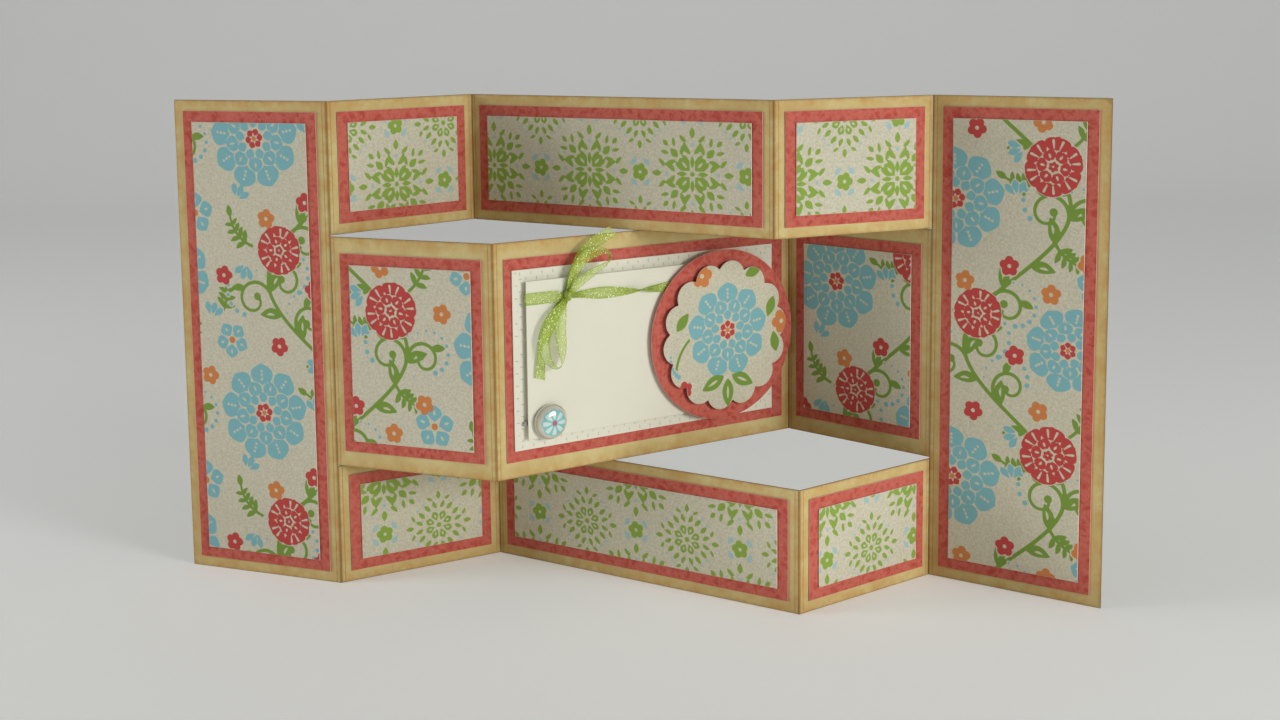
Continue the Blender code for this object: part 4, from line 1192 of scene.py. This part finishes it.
class AddRibbon(bpy.types.Operator):
    """Ribbon tied round the writing panel: its band, knot, two loops and two tails."""
    bl_idname = "shutter_card.add_ribbon"
    bl_label = "Ribbon"

    def execute(self, context):
        look = looks(context)[2]
        material = ribbon_paint(look)
        _, _, knot, half = centre_panel.extent("ribbon_knot")
        pieces = {
            "ribbon_band_left": self.band("tied_band_left", look, knot, half, -1),
            "ribbon_band_right": self.band("tied_band_right", look, knot, half, 1),
            "ribbon_loop_lower": self.loop("lower_loop", look, knot, half, (0.0200, 0.0062, 0.0026), -105),
            "ribbon_loop_upper": self.loop("upper_loop", look, knot, half, (0.0168, 0.0054, -0.0020), 42),
            "ribbon_tail_lower": self.tail("lower_tail", look, knot, half, (0.0242, 0.0022), -111, 0.0004),
            "ribbon_tail_upper": self.tail("upper_tail", look, knot, half, (0.0232, -0.0034), 47, -0.0005),
            "ribbon_knot": self.knot("bow_knot", look, knot, half)}
        for node, piece in pieces.items():
            dress(piece, "middle_centre", material, node)
        return {"FINISHED"}

    @staticmethod
    def out_from(knot, direction, length, shares, offsets, lifts):
        """A path out from the knot: share of the length ahead, an offset to its right, and a lift."""
        turn = math.radians(direction)
        ahead = np.array([math.cos(turn), math.sin(turn), 0])
        aside = np.array([math.sin(turn), -math.cos(turn), 0])
        lifts = np.stack([np.zeros_like(lifts), np.zeros_like(lifts), lifts], axis=1)
        return knot + ahead * length * shares[:, None] + aside * offsets[:, None] + lifts

    @staticmethod
    def clear_of(half, direction):
        """How far from the knot's middle a strand in this direction starts."""
        turn = math.radians(direction)
        return 1 / math.hypot(math.cos(turn) / half[0], math.sin(turn) / half[1]) - KNOT_OVERLAP

    def loop(self, name, look, knot, half, size, direction):
        """Share out (1 - cos 2 pi t)/2, swell sin 2 pi t sin(pi t)**2, rolled on edge round the far end."""
        length, width, bow = size
        start = math.acos(1 - 2 * self.clear_of(half, direction) / length) / (2 * math.pi)
        t = np.linspace(start, 1 - start, 90)
        shares = (1 - np.cos(2 * math.pi * t)) / 2
        swell = np.sin(2 * math.pi * t) * np.sin(math.pi * t) ** 2 / SWELL_PEAK
        offsets = width / 2 * swell + bow * np.sin(math.pi * shares)
        lifts = look.strand_step * (1 - 2 * t) + look.loop_rise * np.sin(math.pi * t) ** 2
        path = self.out_from(knot, direction, length, shares, offsets, lifts)
        roll = math.radians(14) * np.sin(2 * math.pi * t) + math.radians(74) * np.sin(math.pi * t) ** 6
        across = self.rolled(path, roll)
        widths = look.width * gathered(look, shares / GATHER_REACH)
        cup = -look.cup * np.sin(math.pi * t) ** 2
        return strip(name, look, path, across, widths, cup)

    def tail(self, name, look, knot, half, size, direction, slant):
        """Out from the knot in a bow of height sin(pi share), down on the card, with a rippled end."""
        length, bow = size
        start = self.clear_of(half, direction) / length
        shares = np.linspace(start, 1, 60)
        resting = knot[2] - centre_panel.extent("writing_panel")[1][2] - TAIL_CLEARANCE
        lifts = -half[0] + (half[0] - resting) * ease(shares) + 0.0003 * np.sin(5 * shares) ** 2
        path = self.out_from(knot, direction, length, shares, bow * np.sin(math.pi * shares), lifts)
        widths = look.width * gathered(look, shares / GATHER_REACH)
        across = self.rolled(path, 0.25 * np.sin(2 * math.pi * shares))
        return strip(name, look, path, across, widths, 0.0002 * ease(shares * 3), slant)

    @staticmethod
    def rolled(path, roll):
        """Directions across a path: flat on the card at roll 0, on edge at a quarter turn."""
        ahead = unit(np.gradient(path, axis=0))
        flat = unit(np.cross(ahead, (0.0, 0.0, -1.0)))
        deep = unit(np.cross(ahead, flat))
        return flat * np.cos(roll)[:, None] + deep * np.sin(roll)[:, None]

    def band(self, name, look, knot, half, side):
        """Half of the band: from the knot over the panel, round its edge and back to the middle behind it."""
        low, high, (middle, _, thick), size = centre_panel.extent("writing_panel")
        edge = high[0] if side > 0 else low[0]
        wrap = size[2] + 0.00021
        start = knot[0] + side * (half[0] - KNOT_OVERLAP)
        run = abs(edge - start)
        gone = np.linspace(0, run, 150, endpoint=False)
        lift = thick + wrap + (knot[2] - half[0] / 2 - thick - wrap) * (1 - ease(gone / (half[1] * 4)))
        width = gathered(look, gone / (run * GATHER_REACH / 2))
        roll = np.zeros_like(gone)
        cup = look.cup * 0.5 * (1 - ease(gone / run * 2))
        up = np.full_like(gone, knot[1])
        if side > 0:
            twist_at = low[0] + look.twist - start
            near = 1 - ease(np.abs(gone - twist_at) / TWIST_REACH)
            lift = lift + 0.0011 * near
            width = width * (1 - 0.58 * near)
            roll = math.pi * ease((gone - twist_at) / TWIST_REACH + 0.5)
            up = up - 0.0009 * np.sin(math.pi * gone / run)
        turn = np.linspace(0, math.pi, 15)
        back = np.linspace(edge, middle + side * 0.00015, 12)[1:]
        further = len(turn) + len(back)
        path = np.stack([
            np.concatenate([start + side * gone, edge + side * wrap * np.sin(turn), back]),
            np.append(up, np.full(further, knot[1])),
            np.concatenate([lift, thick + wrap * np.cos(turn), np.full(len(back), thick - wrap)])], axis=1)
        roll = np.append(roll, np.full(further, roll[-1]))
        width = np.append(width, np.ones(further)) * look.width
        cup = np.append(cup, np.zeros(further))
        across = np.stack([np.zeros_like(roll), np.cos(roll), np.sin(roll)], axis=1)
        return strip(name, look, path, across, width, cup)

    def knot(self, name, look, knot, half):
        """A wrapped knot: rings of radius (1 - |t|**3)**(1/3) up its height, folded by cos(5 angle + 2 t)."""
        t = np.linspace(-0.985, 0.985, 21)[:, None]
        angles = np.linspace(0, 2 * math.pi, 48, endpoint=False)[None, :]
        folds = 1 - 0.07 * (1 + np.cos(5 * angles + 2 * t))
        reach = (1 - np.abs(t) ** 3) ** (1 / 3) * folds
        along, lift = reach * np.cos(angles), reach * np.sin(angles)
        local = np.stack(np.broadcast_arrays(along, t, lift), axis=-1).reshape(-1, 3)
        local = np.vstack([local, (0, -1, 0), (0, 1, 0)]) * half + knot
        weave = (local - knot) * MM * (1, 1, 0) + (0, 0, look.knot_layers)
        return add_piece(name, centre_panel.points(*local.T), {"weave": weave}, *turned_faces(*along.shape))


class AddBrad(bpy.types.Operator):
    """Domed brad with a printed flower, in a thin rim, and its two legs behind the writing panel."""
    bl_idname = "shutter_card.add_brad"
    bl_label = "Brad"

    def execute(self, context):
        look = looks(context)[3]
        low, high, middle, (radius, *_) = centre_panel.extent("brad_rim")
        wall, bend, clearance, floor = 0.00014, 0.0003, 0.00006, low[2] + 0.0004
        lip = [(radius - wall / 2 + wall / 2 * math.cos(a), high[2] - wall / 2 + wall / 2 * math.sin(a))
               for a in np.linspace(0, math.pi, 7)]
        corner = [(radius - bend + bend * math.sin(a), low[2] + bend - bend * math.cos(a))
                  for a in np.linspace(0.1, math.pi / 2, 5)]
        profile = [(radius / 2, low[2]), *corner, *lip, (radius - wall, floor), (radius / 2, floor)]
        rim = round_piece("brad_rim_ring", middle, profile, np.ones_like, 96)
        dress(rim, "middle_centre", pearl_paint(look), "brad_rim")
        low, high, *_ = centre_panel.extent("brad_dome")
        radius, rise = radius - wall - clearance, high[2] - low[2]
        turns = np.linspace(0.03, math.pi / 2, 34)
        dome = [(radius * math.sin(a) ** 0.78, low[2] + rise * math.cos(a) ** 0.78) for a in turns]
        profile = [*dome[:-1], (radius, low[2]), (radius / 2, low[2])]
        dome = round_piece("brad_flower_dome", middle, profile, np.ones_like, 128)
        dress(dome, "middle_centre", flower_paint(look), "brad_dome")
        metal = metal_paint(look)
        for node in ("brad_leg_left", "brad_leg_right"):
            leg = frame["nodes"][node]
            leg.data.materials.clear()
            leg.data.materials.append(metal)
        return {"FINISHED"}


class AddStage(bpy.types.Operator):
    """Camera, floor that curves up behind the card, three soft lights and the room's light."""
    bl_idname = "shutter_card.add_stage"
    bl_label = "Stage"

    def execute(self, context):
        look = looks(context)[4]
        scene = context.scene
        scene.view_settings.view_transform = "Standard"
        self.add_camera(scene, look)
        backdrop = self.add_backdrop(floor_paint(look))
        aim, square = (0.0, 0.0, 0.06), (0.3, 0.3)
        lights = [self.add_light("key_light", look.key, square, (0.694, -0.542, 0.247), aim),
                  self.add_light("side_light", look.side, square, (-0.875, -0.092, 0.247), aim),
                  self.add_light("bounce_light", look.bounce, (0.36, 0.2), (0.0, -0.14, 0.003),
                                 (0.0, -0.13, 1.0))]
        world = bpy.data.worlds.new("room")
        world.use_nodes = True
        room = world.node_tree.nodes["Background"]
        room.inputs["Color"].default_value = (1.0, 1.0, 1.0, 1.0)
        path = world.node_tree.nodes.new("ShaderNodeLightPath")
        level = world.node_tree.nodes.new("ShaderNodeMapRange")
        level.inputs["To Min"].default_value = look.sky
        level.inputs["To Max"].default_value = look.view_sky
        world.node_tree.links.new(path.outputs["Is Camera Ray"], level.inputs["Value"])
        world.node_tree.links.new(level.outputs[0], room.inputs["Strength"])
        scene.world = world
        return {"FINISHED"}

    def add_camera(self, scene, look):
        """The camera's own axes, from its turn to the right, its tilt down and its roll."""
        turn, tilt, roll = look.turn, look.tilt, look.roll
        ahead = np.array([math.sin(turn) * math.cos(tilt), math.cos(turn) * math.cos(tilt), -math.sin(tilt)])
        right = np.array([math.cos(turn), -math.sin(turn), 0.0])
        up = np.cross(right, ahead)
        axes = (math.cos(roll) * right + math.sin(roll) * up,
                math.cos(roll) * up - math.sin(roll) * right, -ahead)
        camera = bpy.data.objects.new("camera", bpy.data.cameras.new("camera"))
        matrix = np.eye(4)
        matrix[:3, :3] = np.array(axes).T
        matrix[:3, 3] = look.place
        camera.matrix_world = Matrix(matrix.tolist())
        camera.data.lens = look.lens
        camera.data.sensor_width = 36.0
        camera.data.shift_x, camera.data.shift_y = look.shift_x, look.shift_y
        camera.data.clip_start = 0.01
        scene.collection.objects.link(camera)
        scene.camera = camera

    def add_backdrop(self, material):
        """Width x run: flat to 0.9 m behind the card, then a quarter circle of 0.5 m, then straight up."""
        flat, radius = 0.9, 0.5
        across = np.linspace(-4, 4, 25)
        bend = np.linspace(0, math.pi / 2, 20)
        back = np.concatenate([[-3.0, -1.0, 0.0], flat + radius * np.sin(bend), [flat + radius] * 2])
        up = np.concatenate([[0.0, 0.0, 0.0], radius - radius * np.cos(bend), [1.5, 3.0]])
        points = np.stack([*(axis.ravel() for axis in np.meshgrid(across, back)),
                           np.repeat(up, len(across))], axis=1)
        mesh = bpy.data.meshes.new("backdrop")
        mesh.from_pydata(points.tolist(), [], grid_faces(len(back), len(across))[:, ::-1].tolist())
        mesh.polygons.foreach_set("use_smooth", np.ones(len(mesh.polygons), bool))
        mesh.materials.append(material)
        backdrop = bpy.data.objects.new("backdrop", mesh)
        bpy.context.collection.objects.link(backdrop)
        return backdrop

    def add_light(self, name, power, size, place, aim):
        """A soft light of this width and height that faces a point."""
        lamp = bpy.data.lights.new(name, "AREA")
        lamp.shape, lamp.energy = "RECTANGLE", power
        lamp.size, lamp.size_y = size
        light = bpy.data.objects.new(name, lamp)
        light.location = place
        light.rotation_euler = (Vector(aim) - light.location).to_track_quat("-Z", "Y").to_euler()
        light.visible_camera = False
        bpy.context.collection.objects.link(light)
        return light


class CARD_PT_looks(bpy.types.Panel):
    """Sizes, colours and pieces of the shutter card."""
    bl_idname = "CARD_PT_looks"
    bl_label = "Shutter card"
    bl_space_type = "VIEW_3D"
    bl_region_type = "UI"
    bl_category = "Card"

    def draw(self, context):
        for group, title in zip(looks(context), ("Card", "Prints", "Ribbon", "Brad", "Stage")):
            box = self.layout.box()
            box.label(text=title)
            for key in group.bl_rna.properties.keys():
                if key not in ("rna_type", "name"):
                    box.prop(group, key)
        for piece in PIECES:
            self.layout.operator(piece.bl_idname)


GROUPS = {"card_look": CardLook, "print_look": PrintLook, "ribbon_look": RibbonLook, "brad_look": BradLook,
          "stage_look": StageLook}
PIECES = (AddStage, AddCard, AddMats, AddPapers, AddWhiteCards, AddPads, AddTag, AddRibbon, AddBrad)


def register():
    for group in GROUPS.values():
        bpy.utils.register_class(group)
    for name, group in GROUPS.items():
        setattr(bpy.types.Scene, name, bpy.props.PointerProperty(type=group))
    for piece in (*PIECES, CARD_PT_looks):
        bpy.utils.register_class(piece)


def unregister():
    for piece in (*PIECES, CARD_PT_looks):
        bpy.utils.unregister_class(piece)
    for name, group in GROUPS.items():
        delattr(bpy.types.Scene, name)
        bpy.utils.unregister_class(group)


def main():
    register()
    for piece in ("add_stage", "add_card", "add_mats", "add_papers", "add_white_cards", "add_pads", "add_tag",
                  "add_ribbon", "add_brad"):
        getattr(bpy.ops.shutter_card, piece)()


if __name__ == "__main__":
    main()
